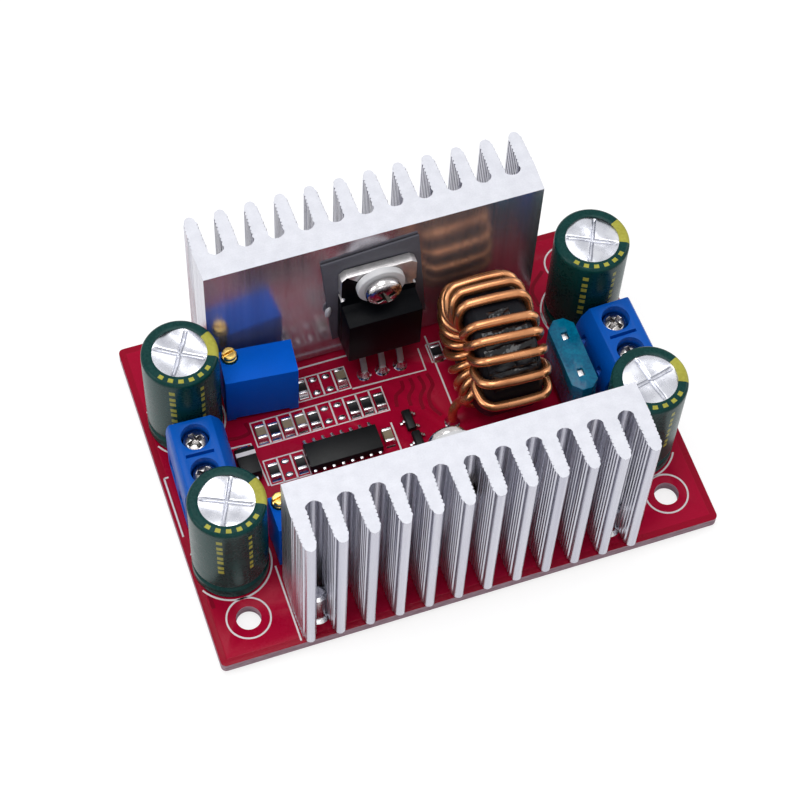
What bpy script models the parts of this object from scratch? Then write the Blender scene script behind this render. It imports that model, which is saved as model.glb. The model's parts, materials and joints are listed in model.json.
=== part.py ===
"""Boost converter module, modelled in metres.

X runs along the board's long side, Y towards its back, Z up. The origin is under the middle
of the board, at the tips of the soldered leads, on which the module stands.
"""
import math

import bmesh
import bpy
from mathutils import Matrix, Vector

# Clearances
seat_gap = 0.0003
slip_gap = 0.00015
overrun = 0.001

# Board
board_thickness = 0.0016
board_corner_radius = 0.0007
mount_hole_radius = 0.0016
mount_hole_inset_x = 0.0051
mount_hole_inset_y = 0.0054
lead_length_below = 0.001
solder_hole_clearance = 0.0002

# Heatsinks
heatsink_height = 0.0261
heatsink_depth = 0.0095
heatsink_base = 0.0032
heatsink_overhang = 0.00035
heatsink_rear_shift = -0.00086
heatsink_front_shift = -0.00028
fin_count = 12
fin_root_width = 0.0017
fin_tip_width = 0.0014
fin_ridge_count = 3
fin_ridge_height = 0.00013
root_arc_steps = 4
tip_arc_steps = 4
pin_grip = 0.00009
pin_tail_radius = 0.0007
pin_height = 0.0058
pin_root_distance = 0.0011

# Transistors
transistor_width = 0.0101
transistor_body_width = 0.0099
transistor_body_height = 0.0091
transistor_depth = 0.0045
transistor_standoff = 0.0053
tab_thickness = 0.0013
tab_height = 0.0066
tab_corner = 0.0007
tab_notch_radius = 0.0005
tab_hole_drop = 0.0026
tab_hole_radius = 0.00185
body_draft = 0.0004
transistor_lead_pitch = 0.00254
transistor_lead_width = 0.0008
transistor_shoulder_width = 0.0013
transistor_shoulder_drop = 0.0014
transistor_lead_thickness = 0.0005
transistor_lead_exit = 0.0025
transistor_lead_reach = 0.0039
transistor_lead_bend_height = 0.0016

# Insulating pads, bushings and clamping screws
pad_width = 0.013
pad_height = 0.0188
pad_thickness = 0.00025
pad_turn_degrees = 5.0
pad_drop = 0.0042
pad_hole_radius = 0.0019
bushing_flange_radius = 0.0032
bushing_flange = 0.0009
bushing_sleeve_radius = 0.00165
bushing_sleeve = 0.001
screw_radius = 0.00125
screw_head_radius = 0.0024
screw_head_height = 0.0016
screw_tip_reach = 0.0014
cross_width = 0.0006
cross_span = 0.0026
cross_depth = 0.0008

# Capacitors
capacitor_radius = 0.0049
capacitor_height = 0.0174
capacitor_sleeve_wall = 0.00025
capacitor_rim = 0.0014
capacitor_rounding = 0.0005
capacitor_groove_height = 0.0022
capacitor_groove_depth = 0.0004
capacitor_groove_half = 0.0007
capacitor_lead_pitch = 0.005
capacitor_lead_radius = 0.0004
capacitor_margins = {"rear_left": 0.0007, "rear_right": 0.00105, "front_left": 0.0003, "front_right": 0.0016}
capacitor_rear_gap = 0.0006
capacitor_front_gap = 0.0012
capacitor_heatsink_gap = 0.0012
capacitor_heatsink_lap = 0.00105

# Terminal blocks
terminal_pitch = 0.005
terminal_end_wall = 0.0025
terminal_height = 0.01
terminal_inset = 0.00485
terminal_centre_y = 0.0005
terminal_turn_degrees = 2.0
terminal_outer = 0.0033
terminal_inner = 0.00425
terminal_top_half = 0.00265
terminal_outer_shoulder = 0.0021
terminal_inner_chamfer = 0.0031
terminal_inner_round = 0.0013
terminal_inner_step = 0.0006
well_radius = 0.00185
chamber_width = 0.0039
chamber_back = 0.0024
chamber_front = 0.0018
entry_width = 0.0033
entry_sill = 0.0008
entry_height = 0.0033
divider_width = 0.00045
divider_depth = 0.0012
divider_outer = 0.0018
divider_inner = 0.0019
rib_notch_width = 0.0009
rib_notch_height = 0.0013
rib_notch_depth = 0.0009
clamp_length = 0.0028
clamp_width = 0.0034
clamp_wall = 0.0004
clamp_top_wall = 0.001
clamp_floor = 0.0005
clamp_rest_height = 0.00035
clamp_travel = 0.0022
bar_width = 0.0022
bar_thickness = 0.0005
bar_height = 0.0034
bar_reach = 0.0012
pin_leg_offset = 0.0019
pin_tail_width = 0.0009
pin_tail_thickness = 0.0004
terminal_screw_radius = 0.0011
terminal_head_radius = 0.0016
terminal_head_height = 0.0012
terminal_cross_span = 0.0022

# Trimmers
trimmer_length = 0.00953
trimmer_width = 0.00483
trimmer_height = 0.01
trimmer_foot_height = 0.0004
trimmer_foot_size = 0.0012
trimmer_lead_pitch = 0.00254
trimmer_lead_radius = 0.0003
trimmer_screw_end = 0.00127
trimmer_screw_side = 0.001
trimmer_bore_radius = 0.00115
trimmer_bore_depth = 0.003
trimmer_screw_radius = 0.00095
trimmer_screw_stand = 0.0012
trimmer_slot_width = 0.0004
trimmer_slot_depth = 0.0006
trimmer_capacitor_gap = 0.0005
trimmer_rear_gap = 0.00142
trimmer_front_gap = 0.0019
trimmer_rear_turn_degrees = -5.6

# Inductor
core_outer_radius = 0.0085
core_inner_radius = 0.0045
core_width = 0.0078
core_chamfer = 0.0009
wire_radius = 0.0005
wire_core_gap = 0.0001
wire_bend = 0.0011
wire_sides = 6
inductor_transistor_gap = 0.00271
inductor_fuse_gap = 0.00245
inductor_rear_gap = 0.0015
strand_degrees = (173, 149, 129, 113, 99, 77, 60, 42, 24, 6, -13, -32, -51, -70, -88, -105)
strand_lean_degrees = 2.5
turn_advance_shares = (-0.46, -0.3, -0.06, -0.03, 0, 0, 0.03, 0.06, 0.3, 0.46)
first_lead_degrees = 198
last_lead_degrees = -128
lead_side_distance = 0.0015
lead_arch_height = 0.0034

# Fuse
fuse_length = 0.0109
fuse_thickness = 0.0036
fuse_body_length = 0.0098
fuse_body_thickness = 0.003
fuse_height = 0.0086
fuse_head_height = 0.0026
fuse_standoff = 0.002
fuse_wall = 0.0007
fuse_slot = 0.0012
fuse_terminal_gap = 0.00145
fuse_centre_y = -0.0006
blade_width = 0.0028
blade_thickness = 0.00065
blade_spacing = 0.0057
blade_tail_width = 0.002
blade_link_height = 0.0012
blade_link_level = 0.0042
probe_length = 0.0016
probe_width = 0.0011

# Controller chip
chip_length = 0.0099
chip_width = 0.0039
chip_height = 0.0016
chip_taper = 0.0002
chip_standoff = 0.0001
chip_lead_span = 0.006
chip_lead_pitch = 0.00127
chip_lead_width = 0.0004
chip_lead_thickness = 0.0002
chip_lead_foot = 0.0007
chip_lead_pairs = 8
chip_centre_x_share = -0.145
chip_centre_y_share = 0.003

# Small transistors and the diode
small_body_length = 0.0029
small_body_width = 0.0013
small_body_height = 0.0009
small_lead_span = 0.0024
small_lead_pitch = 0.00095
small_lead_width = 0.0004
small_lead_thickness = 0.00015
small_place_shares = ((-0.002, 0.034), (0.0015, -0.036))
diode_length = 0.0043
diode_width = 0.0026
diode_height = 0.0021
diode_span = 0.0052
diode_lead_width = 0.0014
diode_lead_thickness = 0.0003
diode_terminal_gap = 0.0009
diode_centre_y_share = 0.033

# Chip resistors and chip capacitors
part_length = 0.002
part_width = 0.00125
part_end = 0.0004
part_end_step = 0.00005
resistor_height = 0.0005
ceramic_height = 0.0009
row_pitch_share = 0.02715
middle_row_place_shares = (-0.2858, 0.1215)
rear_row_place_shares = (-0.1795, 0.2235)
front_row_place_shares = (-0.2858, 0.002)
side_part_place_shares = (-0.052, 0.006)
inductor_part_place_shares = (0.102, 0.219)
middle_row = {0: "ceramic", 1: "resistor", 2: "ceramic", 3: "ceramic", 4: "resistor", 7: "resistor",
              8: "resistor", 9: "resistor"}
rear_row = {0: "resistor", 3: "ceramic"}
front_row = {0: "resistor", 2: "resistor"}

# Facets round a turned piece
can_sides = 20
small_sides = 12
hole_sides = 16
lead_sides = 6
core_sides = 24

# Heights and places that follow from the sizes above
board_low = lead_length_below
board_top = board_low + board_thickness
part_floor = board_top + seat_gap
transistor_low = board_top + transistor_standoff
tab_top = transistor_low + transistor_body_height + tab_height
clamp_hole_z = tab_top - tab_hole_drop
pad_face = slip_gap
tab_face = pad_face + pad_thickness + slip_gap
bushing_face = tab_face + tab_thickness + slip_gap
screw_seat = bushing_face + bushing_flange + slip_gap
screw_bore_radius = screw_radius + slip_gap
terminal_length = terminal_pitch + 2 * terminal_end_wall
terminal_top = board_top + terminal_height
bar_low = board_top + bar_height
clamp_low = board_top + clamp_rest_height
clamp_height = bar_height + bar_thickness + seat_gap + clamp_top_wall - clamp_rest_height
chamber_top = clamp_low + clamp_height + clamp_travel + seat_gap
terminal_head_low = chamber_top + slip_gap
strand_outer = core_outer_radius + wire_core_gap + wire_radius
strand_inner = core_inner_radius - wire_core_gap - wire_radius
strand_side = core_width / 2 + wire_core_gap + wire_radius
coil_radius = strand_outer + wire_radius
coil_half_width = strand_side + wire_radius

# The board is as wide as the terminal block, the cans beside it and both heatsinks need
capacitor_reach = terminal_length / 2 + capacitor_radius
capacitor_rear_y = terminal_centre_y + capacitor_reach + capacitor_rear_gap
capacitor_front_y = terminal_centre_y - capacitor_reach - capacitor_front_gap
heatsink_face_y = capacitor_rear_y + capacitor_radius - capacitor_heatsink_lap
board_width = 2 * (heatsink_face_y + heatsink_depth - heatsink_overhang)

# Its length follows from the row of transistor, inductor, fuse and terminal block
inductor_x = heatsink_rear_shift + transistor_width / 2 + inductor_transistor_gap + coil_half_width
fuse_x = inductor_x + coil_half_width + inductor_fuse_gap + fuse_thickness / 2
terminal_x = fuse_x + fuse_thickness / 2 + fuse_terminal_gap + terminal_inner
board_length = 2 * (terminal_x + terminal_inset)

# The heatsinks fill the length between the cans
heatsink_length = board_length - 2 * (2 * capacitor_radius + capacitor_heatsink_gap)
slot_pitch = (heatsink_length - fin_root_width) / (fin_count - 1)
slot_radius = (slot_pitch - fin_root_width) / 2
pin_radius = slot_radius + pin_grip

# The inductor's other two places
inductor_y = heatsink_face_y - inductor_rear_gap - coil_radius
inductor_z = board_top + seat_gap + coil_radius

# Holes that the board gets for the leads, filled in by the parts: (x, y, radius)
round_holes = []
# Slots that the board gets for the fuse's blades: (x, y, half length along X, half length along Y)
slot_holes = []


def clear_scene():
    for item in list(bpy.data.objects):
        bpy.data.objects.remove(item, do_unlink=True)


def finish(name, colour, metallic, roughness):
    """One Principled finish."""
    material = bpy.data.materials.new(name)
    material.use_nodes = True
    shader = material.node_tree.nodes["Principled BSDF"]
    shader.inputs["Base Color"].default_value = (*colour, 1)
    shader.inputs["Metallic"].default_value = metallic
    shader.inputs["Roughness"].default_value = roughness
    material.diffuse_color = (*colour, 1)
    return material


def spot(axis, first, second, level):
    """A point at a level along an axis, with two coordinates across it in X, Y, Z order."""
    if axis == "X":
        return (level, first, second)
    if axis == "Y":
        return (first, level, second)
    return (first, second, level)


def skin(mesh, rings, closed):
    """Join rings of points into faces. A ring of one point is a pole."""
    pairs = list(zip(rings, rings[1:]))
    if closed:
        pairs.append((rings[-1], rings[0]))
    for low, high in pairs:
        count = max(len(low), len(high))
        for step in range(count):
            corners = [low[step % len(low)], low[(step + 1) % len(low)],
                       high[(step + 1) % len(high)], high[step % len(high)]]
            mesh.faces.new(list(dict.fromkeys(corners)))


def prism(mesh, outline, low, high, axis="Z"):
    """Extrude a closed outline between two levels along an axis."""
    rings = [[mesh.verts.new(spot(axis, first, second, level)) for first, second in outline]
             for level in (low, high)]
    skin(mesh, rings, False)
    mesh.faces.new(rings[0])
    mesh.faces.new(rings[1])


def ring_prism(mesh, outer, inner, low, high, axis):
    """Extrude a band between two outlines of as many points."""
    loops = [(outer, low), (outer, high), (inner, high), (inner, low)]
    rings = [[mesh.verts.new(spot(axis, first, second, level)) for first, second in outline]
             for outline, level in loops]
    skin(mesh, rings, True)


def box(mesh, x_range, y_range, z_range):
    prism(mesh, corners(x_range, y_range), *z_range)


def corners(first_range, second_range):
    """The four corners of a rectangle."""
    (left, right), (front, back) = first_range, second_range
    return [(left, front), (right, front), (right, back), (left, back)]


def around(centre, half):
    """The range of a width about its middle."""
    return (centre - half, centre + half)


def lathe(mesh, profile, sides, axis="Z", centre=(0, 0), closed=False):
    """Turn a profile of (radius, level) points about an axis."""
    rings = []
    for radius, level in profile:
        count = sides if radius else 1
        angles = [math.tau * step / sides for step in range(count)]
        rings.append([mesh.verts.new(spot(axis, centre[0] + radius * math.cos(angle),
                                          centre[1] + radius * math.sin(angle), level))
                      for angle in angles])
    skin(mesh, rings, closed)


def rod(mesh, radius, low, high, sides, axis="Z", centre=(0, 0)):
    """A plain round bar or a round cutter."""
    lathe(mesh, [(0, low), (radius, low), (radius, high), (0, high)], sides, axis, centre)


def tube(mesh, path, radius, sides):
    """A round wire along a path, with its section carried along without a twist."""
    path = [Vector(point) for point in path]
    rings = []
    across = None
    for index, point in enumerate(path):
        before = path[max(index - 1, 0)]
        after = path[min(index + 1, len(path) - 1)]
        along = (after - before).normalized()
        if across is None:
            across = along.orthogonal()
        across = (across - along * across.dot(along)).normalized()
        upward = along.cross(across)
        rings.append([mesh.verts.new(point + radius * (across * math.cos(math.tau * step / sides)
                                                       + upward * math.sin(math.tau * step / sides)))
                      for step in range(sides)])
    skin(mesh, rings, False)
    mesh.faces.new(rings[0])
    mesh.faces.new(rings[-1])


def strip(path, thickness):
    """The outline of a bent strip along a path in a plane."""
    left_side, right_side = [], []
    for index, point in enumerate(path):
        ends = [Vector(path[max(index - 1, 0)]), Vector(point), Vector(path[min(index + 1, len(path) - 1)])]
        runs = [(ends[1] - ends[0]), (ends[2] - ends[1])]
        runs = [run.normalized() for run in runs if run.length > 0]
        normals = [Vector((-run.y, run.x)) for run in runs]
        mitre = sum(normals, Vector((0, 0))).normalized()
        reach = thickness / 2 / mitre.dot(normals[0])
        left_side.append(tuple(ends[1] + mitre * reach))
        right_side.append(tuple(ends[1] - mitre * reach))
    return left_side + right_side[::-1]


def arc(centre, radius, start, stop, steps):
    """Points along an arc, both ends among them, with angles in degrees."""
    points = []
    for step in range(steps + 1):
        angle = math.radians(start + (stop - start) * step / steps)
        points.append((centre[0] + radius * math.cos(angle), centre[1] + radius * math.sin(angle)))
    return points


def rounded_rectangle(half_x, half_y, radius, steps=3):
    points = []
    for quarter, (side_x, side_y) in enumerate(((1, 1), (-1, 1), (-1, -1), (1, -1))):
        centre = (side_x * (half_x - radius), side_y * (half_y - radius))
        points += arc(centre, radius, 90 * quarter, 90 * quarter + 90, steps)
    return points


def shape(maker, *values):
    """A mesh that one maker function fills."""
    mesh = bmesh.new()
    maker(mesh, *values)
    return mesh


def to_object(name, mesh):
    bmesh.ops.recalc_face_normals(mesh, faces=mesh.faces)
    data = bpy.data.meshes.new(name)
    mesh.to_mesh(data)
    mesh.free()
    item = bpy.data.objects.new(name, data)
    bpy.context.scene.collection.objects.link(item)
    return item


def join(maker, *values):
    """A step of make_piece that adds a shape."""
    return ("UNION", shape(maker, *values))


def cut(maker, *values):
    """A step of make_piece that takes a shape away."""
    return ("DIFFERENCE", shape(maker, *values))


def make_piece(name, body, material, steps=()):
    """One solid: a body with shapes joined to it or cut from it, in order."""
    item = to_object(name, body)
    tools = []
    for operation, mesh in steps:
        tool = to_object(name + "_tool", mesh)
        tool.hide_render = True
        tool.display_type = "WIRE"
        modifier = item.modifiers.new(operation.lower(), "BOOLEAN")
        modifier.operation = operation
        modifier.solver = "EXACT"
        modifier.object = tool
        tools.append(tool)
    if tools:
        depsgraph = bpy.context.evaluated_depsgraph_get()
        data = bpy.data.meshes.new_from_object(item.evaluated_get(depsgraph))
        item.modifiers.clear()
        item.data = data
        data.name = name
    for tool in tools:
        bpy.data.objects.remove(tool, do_unlink=True)
    item.data.materials.clear()
    item.data.materials.append(material)
    item.data.shade_smooth()
    item.data.set_sharp_from_angle(angle=math.radians(32))
    return item


def place(item, location, turn_degrees=0):
    item.location = location
    item.rotation_euler = (0, 0, math.radians(turn_degrees))
    return item


def copy_of(item, name):
    """Another object on the same mesh."""
    twin = bpy.data.objects.new(name, item.data)
    bpy.context.scene.collection.objects.link(twin)
    return twin


def turned(point, turn_degrees):
    """A point of a part's own plan, turned about its middle."""
    angle = math.radians(turn_degrees)
    x, y = point
    return (x * math.cos(angle) - y * math.sin(angle), x * math.sin(angle) + y * math.cos(angle))


def drill(centre, turn_degrees, points, radius):
    """Note the board's holes under a part's leads."""
    for point in points:
        x, y = turned(point, turn_degrees)
        round_holes.append((centre[0] + x, centre[1] + y, radius + solder_hole_clearance))


# Heatsinks


def fin_side(centre, side):
    """One flank of a fin from root to tip, with saw ridges along it."""
    root = (centre + side * fin_root_width / 2, heatsink_base + slot_radius)
    tip = (centre + side * fin_tip_width / 2, heatsink_depth - fin_tip_width / 2)
    points = [root]
    steps = 2 * fin_ridge_count
    for step in range(1, steps):
        share = step / steps
        proud = fin_ridge_height if step % 2 else 0
        points.append((root[0] + (tip[0] - root[0]) * share + side * proud,
                       root[1] + (tip[1] - root[1]) * share))
    return points


def comb_outline():
    """The extrusion's section: a flat base on y = 0 and round-rooted fins towards +Y."""
    half = heatsink_length / 2
    points = [(-half, 0), (half, 0)]
    for fin in range(fin_count):
        centre = half - fin_root_width / 2 - fin * slot_pitch
        points += fin_side(centre, 1)
        points += arc((centre, heatsink_depth - fin_tip_width / 2), fin_tip_width / 2, 0, 180, tip_arc_steps)
        points += fin_side(centre, -1)[::-1]
        if fin < fin_count - 1:
            middle = (centre - slot_pitch / 2, heatsink_base + slot_radius)
            points += arc(middle, slot_radius, 0, -180, root_arc_steps)[1:-1]
    return points


def pin_shapes(mesh, x):
    """A solder pin pressed between two fins, with a thinner tail through the board."""
    y = heatsink_base + pin_root_distance + pin_radius
    lathe(mesh, [(0, 0), (pin_tail_radius, 0), (pin_tail_radius, part_floor), (pin_radius, part_floor),
                 (pin_radius, board_top + pin_height), (0, board_top + pin_height)],
          small_sides, "Z", (x, y))


def make_heatsink(name, centre_x, face_y, turn_degrees, material):
    body = shape(prism, comb_outline(), part_floor, part_floor + heatsink_height)
    pin_places = [side * slot_pitch * (fin_count - 2) / 2 for side in (-1, 1)]
    steps = [join(pin_shapes, x) for x in pin_places]
    steps.append(cut(rod, screw_bore_radius, -overrun, heatsink_base + screw_tip_reach + seat_gap,
                     small_sides, "Y", (0, clamp_hole_z)))
    item = make_piece(name, body, material, steps)
    pin_y = heatsink_base + pin_root_distance + pin_radius
    drill((centre_x, face_y), turn_degrees, [(x, pin_y) for x in pin_places], pin_tail_radius)
    return place(item, (centre_x, face_y, 0), turn_degrees)


# Transistors, with their pads, bushings and screws. The heatsink's face is on y = 0.


def transistor_case(mesh):
    back = -tab_face - slip_gap
    front = -tab_face - transistor_depth
    low, high = transistor_low, transistor_low + transistor_body_height
    middle = (back + front) / 2
    outline = [(back, low), (back, high), (middle, high), (front, high - body_draft),
               (front, low + body_draft), (middle, low)]
    prism(mesh, outline, -transistor_body_width / 2, transistor_body_width / 2, "X")


def tab_plate(mesh):
    half = transistor_width / 2
    low = transistor_low + body_draft
    notch = transistor_low + transistor_body_height + tab_height / 4
    outline = [(-half, low), (half, low)]
    outline += arc((half, notch), tab_notch_radius, -90, -270, 4)
    outline += [(half, tab_top - tab_corner), (half - tab_corner, tab_top), (tab_corner - half, tab_top),
                (-half, tab_top - tab_corner)]
    outline += arc((-half, notch), tab_notch_radius, 90, -90, 4)
    prism(mesh, outline, -tab_face - tab_thickness, -tab_face, "Y")


def lead_path():
    exit_y = -tab_face - transistor_lead_exit
    foot_y = -tab_face - transistor_lead_reach
    return [(exit_y, transistor_low + body_draft), (exit_y, transistor_low - transistor_shoulder_drop),
            (foot_y, board_top + transistor_lead_bend_height), (foot_y, 0)]


def transistor_leads(mesh):
    for step in (-1, 0, 1):
        prism(mesh, strip(lead_path(), transistor_lead_thickness),
              *around(step * transistor_lead_pitch, transistor_lead_width / 2), "X")


def lead_shoulders(mesh):
    exit_y = -tab_face - transistor_lead_exit
    for step in (-1, 0, 1):
        box(mesh, around(step * transistor_lead_pitch, transistor_shoulder_width / 2),
            around(exit_y, transistor_lead_thickness / 2 + slip_gap),
            (transistor_low - transistor_shoulder_drop, transistor_low + body_draft))


def make_transistor(name, centre_x, face_y, turn_degrees, material):
    hole = cut(rod, tab_hole_radius, -tab_face - tab_thickness - overrun, overrun, small_sides, "Y",
               (0, clamp_hole_z))
    item = make_piece(name, shape(transistor_case), material,
                      [join(tab_plate), join(transistor_leads), join(lead_shoulders), hole])
    foot_y = -tab_face - transistor_lead_reach
    places = [(step * transistor_lead_pitch, foot_y) for step in (-1, 0, 1)]
    drill((centre_x, face_y), turn_degrees, places,
          math.hypot(transistor_lead_width, transistor_lead_thickness) / 2)
    return place(item, (centre_x, face_y, 0), turn_degrees)


def make_insulating_pad(name, centre_x, face_y, turn_degrees, material):
    tilt = pad_turn_degrees
    middle = (0, clamp_hole_z - pad_drop)
    outline = [turned(point, tilt) for point in corners(around(0, pad_width / 2), around(0, pad_height / 2))]
    outline = [(middle[0] + x, middle[1] + z) for x, z in outline]
    hole = cut(rod, pad_hole_radius, -overrun, overrun, small_sides, "Y", (0, clamp_hole_z))
    body = shape(prism, outline, -pad_face - pad_thickness, -pad_face, "Y")
    return place(make_piece(name, body, material, [hole]), (centre_x, face_y, 0), turn_degrees)


def make_bushing(name, centre_x, face_y, turn_degrees, material):
    bore = screw_bore_radius
    flange_low, flange_high = -bushing_face, -bushing_face - bushing_flange
    sleeve_end = flange_low + bushing_sleeve
    profile = [(bore, sleeve_end), (bushing_sleeve_radius, sleeve_end), (bushing_sleeve_radius, flange_low),
               (bushing_flange_radius, flange_low), (bushing_flange_radius, flange_high), (bore, flange_high)]
    body = bmesh.new()
    lathe(body, profile, small_sides, "Y", (0, clamp_hole_z), True)
    return place(make_piece(name, body, material), (centre_x, face_y, 0), turn_degrees)


def cross_outline(span, width):
    """A plus sign, for a cross recess."""
    far, near = span / 2, width / 2
    return [(far, -near), (far, near), (near, near), (near, far), (-near, far), (-near, near),
            (-far, near), (-far, -near), (-near, -near), (-near, -far), (near, -far), (near, -near)]


def make_clamp_screw(name, centre_x, face_y, turn_degrees, material):
    seat = -screw_seat
    top = seat - screw_head_height
    tip = heatsink_base + screw_tip_reach
    profile = [(0, top), (screw_head_radius * 2 / 3, top), (screw_head_radius, top + screw_head_height / 3),
               (screw_head_radius, seat), (screw_radius, seat), (screw_radius, tip - screw_radius / 3),
               (screw_radius * 2 / 3, tip), (0, tip)]
    body = shape(lathe, profile, small_sides, "Y", (0, clamp_hole_z))
    outline = [(x, clamp_hole_z + z) for x, z in cross_outline(cross_span, cross_width)]
    recess = cut(prism, outline, top - overrun, top + cross_depth, "Y")
    return place(make_piece(name, body, material, [recess]), (centre_x, face_y, 0), turn_degrees)


# Capacitors


def make_capacitor(place_name, centre, materials):
    can_material, sleeve_material = materials
    low, top = part_floor, part_floor + capacitor_height
    wall, rounding = capacitor_sleeve_wall, capacitor_rounding
    can_radius = capacitor_radius - wall - slip_gap
    can_top = top - wall - slip_gap
    groove = [(low + capacitor_groove_height + side * capacitor_groove_half, depth)
              for side, depth in ((-1, 0), (0, capacitor_groove_depth), (1, 0))]
    can = [(0, low), (can_radius, low)]
    can += [(can_radius - depth, level) for level, depth in groove]
    can += [(can_radius, can_top - rounding), (can_radius - rounding, can_top), (0, can_top)]
    lead_places = [(side * capacitor_lead_pitch / 2, 0) for side in (-1, 1)]
    leads = [join(rod, capacitor_lead_radius, 0, low + rounding, lead_sides, "Z", lead)
             for lead in lead_places]
    body = shape(lathe, can, can_sides)
    place(make_piece("capacitor_can_" + place_name, body, can_material, leads), (*centre, 0))
    outer = [(capacitor_radius, low)]
    outer += [(capacitor_radius - depth, level) for level, depth in groove]
    outer += [(capacitor_radius, top - rounding), (capacitor_radius - rounding, top),
              (capacitor_radius - capacitor_rim, top)]
    inner_top = top - wall
    inner = [(capacitor_radius - capacitor_rim, inner_top), (can_radius + slip_gap - rounding, inner_top),
             (can_radius + slip_gap, inner_top - rounding)]
    inner += [(can_radius + slip_gap - depth, level) for level, depth in groove[::-1]]
    inner += [(can_radius + slip_gap, low)]
    sleeve = bmesh.new()
    lathe(sleeve, outer + inner, can_sides, closed=True)
    place(make_piece("capacitor_sleeve_" + place_name, sleeve, sleeve_material), (*centre, 0))
    drill(centre, 0, lead_places, capacitor_lead_radius)


# Terminal blocks. In a block's own plan +X is the side where the wires go in.


def housing_outline():
    low, top = part_floor, terminal_top
    return [(-terminal_inner, low), (terminal_outer, low), (terminal_outer, top - terminal_outer_shoulder),
            (terminal_outer - (terminal_outer - terminal_top_half) / 3, top - terminal_outer_shoulder / 3),
            (terminal_top_half, top), (-terminal_top_half, top),
            (-terminal_inner + terminal_inner_step, top - terminal_inner_round),
            (-terminal_inner, top - terminal_inner_chamfer)]


def pole_places():
    return [side * terminal_pitch / 2 for side in (-1, 1)]


def wells(mesh):
    for y in pole_places():
        rod(mesh, well_radius, chamber_top - overrun, terminal_top + overrun, hole_sides, "Z", (0, y))
    box(mesh, (-divider_inner, divider_outer), around(0, divider_width / 2),
        (terminal_top - divider_depth, terminal_top + overrun))


def chambers(mesh):
    for y in pole_places():
        box(mesh, (-chamber_back, chamber_front), around(y, chamber_width / 2),
            (part_floor - overrun, chamber_top))


def wire_entries(mesh):
    for y in pole_places():
        box(mesh, (0, terminal_outer + overrun), around(y, entry_width / 2),
            (board_top + entry_sill, board_top + entry_sill + entry_height))


def rib_notches(mesh):
    level = terminal_top - terminal_inner_chamfer
    for y in (0, terminal_pitch):
        box(mesh, (-terminal_inner - overrun, -terminal_inner + rib_notch_depth),
            around(y - terminal_pitch / 2, rib_notch_width / 2), (level - rib_notch_height / 2,
                                                                  level + rib_notch_height / 2))


def clamp_shape(mesh):
    """A square cage, open along X, through which the wire passes."""
    low, high = clamp_low, clamp_low + clamp_height
    half = clamp_width / 2
    outer = corners(around(0, half), (low, high))
    inner = corners(around(0, half - clamp_wall), (low + clamp_floor, high - clamp_top_wall))
    ring_prism(mesh, outer, inner, -clamp_length / 2, clamp_length / 2, "X")


def contact_shape(mesh):
    """The fixed bar in the cage, with its leg down the chamber's back."""
    leg = -pin_leg_offset
    middle = bar_low + bar_thickness / 2
    path = [(leg, part_floor + seat_gap), (leg, middle), (bar_reach, middle)]
    prism(mesh, strip(path, bar_thickness), -bar_width / 2, bar_width / 2, "Y")


def contact_tail(mesh):
    box(mesh, around(-pin_leg_offset, pin_tail_thickness / 2), around(0, pin_tail_width / 2),
        (0, bar_low))


def terminal_screw_profile():
    low = bar_low + bar_thickness + seat_gap
    seat = terminal_head_low
    top = seat + terminal_head_height
    edge = terminal_head_height / 4
    return [(0, low), (terminal_screw_radius, low), (terminal_screw_radius, seat),
            (terminal_head_radius, seat), (terminal_head_radius, top - edge),
            (terminal_head_radius - edge, top), (0, top)]


def make_terminal_block(side_name, side, finishes):
    """A two-pole block; side is -1 for the left end of the board and 1 for the right."""
    plastic, plating, tin = finishes
    turn = terminal_turn_degrees if side > 0 else 180 - terminal_turn_degrees
    centre = (side * terminal_x, terminal_centre_y)
    body = shape(prism, housing_outline(), -terminal_length / 2, terminal_length / 2, "Y")
    cuts = [cut(chambers), cut(wells), cut(wire_entries), cut(rib_notches)]
    place(make_piece("terminal_housing_" + side_name, body, plastic, cuts), (*centre, 0), turn)
    head_top = terminal_head_low + terminal_head_height
    recess = cut(prism, cross_outline(terminal_cross_span, cross_width), head_top - cross_depth,
                 head_top + overrun)
    turned_screw = shape(lathe, terminal_screw_profile(), small_sides)
    screw = make_piece("terminal_screw", turned_screw, plating, [recess])
    hole = cut(rod, terminal_screw_radius + seat_gap / 2, clamp_low + clamp_height / 2,
               clamp_low + clamp_height + overrun, small_sides)
    clamp = make_piece("terminal_clamp", shape(clamp_shape), plating, [hole])
    contact = make_piece("terminal_contact", shape(contact_shape), tin, [join(contact_tail)])
    for y in pole_places():
        x_step, y_step = turned((0, y), turn)
        spot_name = side_name + ("_rear" if y_step > 0 else "_front")
        location = (centre[0] + x_step, centre[1] + y_step, 0)
        for item in (screw, clamp, contact):
            place(copy_of(item, item.name + "_" + spot_name), location, turn)
        drill(location, turn, [(-pin_leg_offset, 0)], math.hypot(pin_tail_width, pin_tail_thickness) / 2)
    for item in (screw, clamp, contact):
        bpy.data.objects.remove(item, do_unlink=True)


# Trimmers


def trimmer_screw_place():
    return (-trimmer_length / 2 + trimmer_screw_end, trimmer_width / 2 - trimmer_screw_side)


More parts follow.
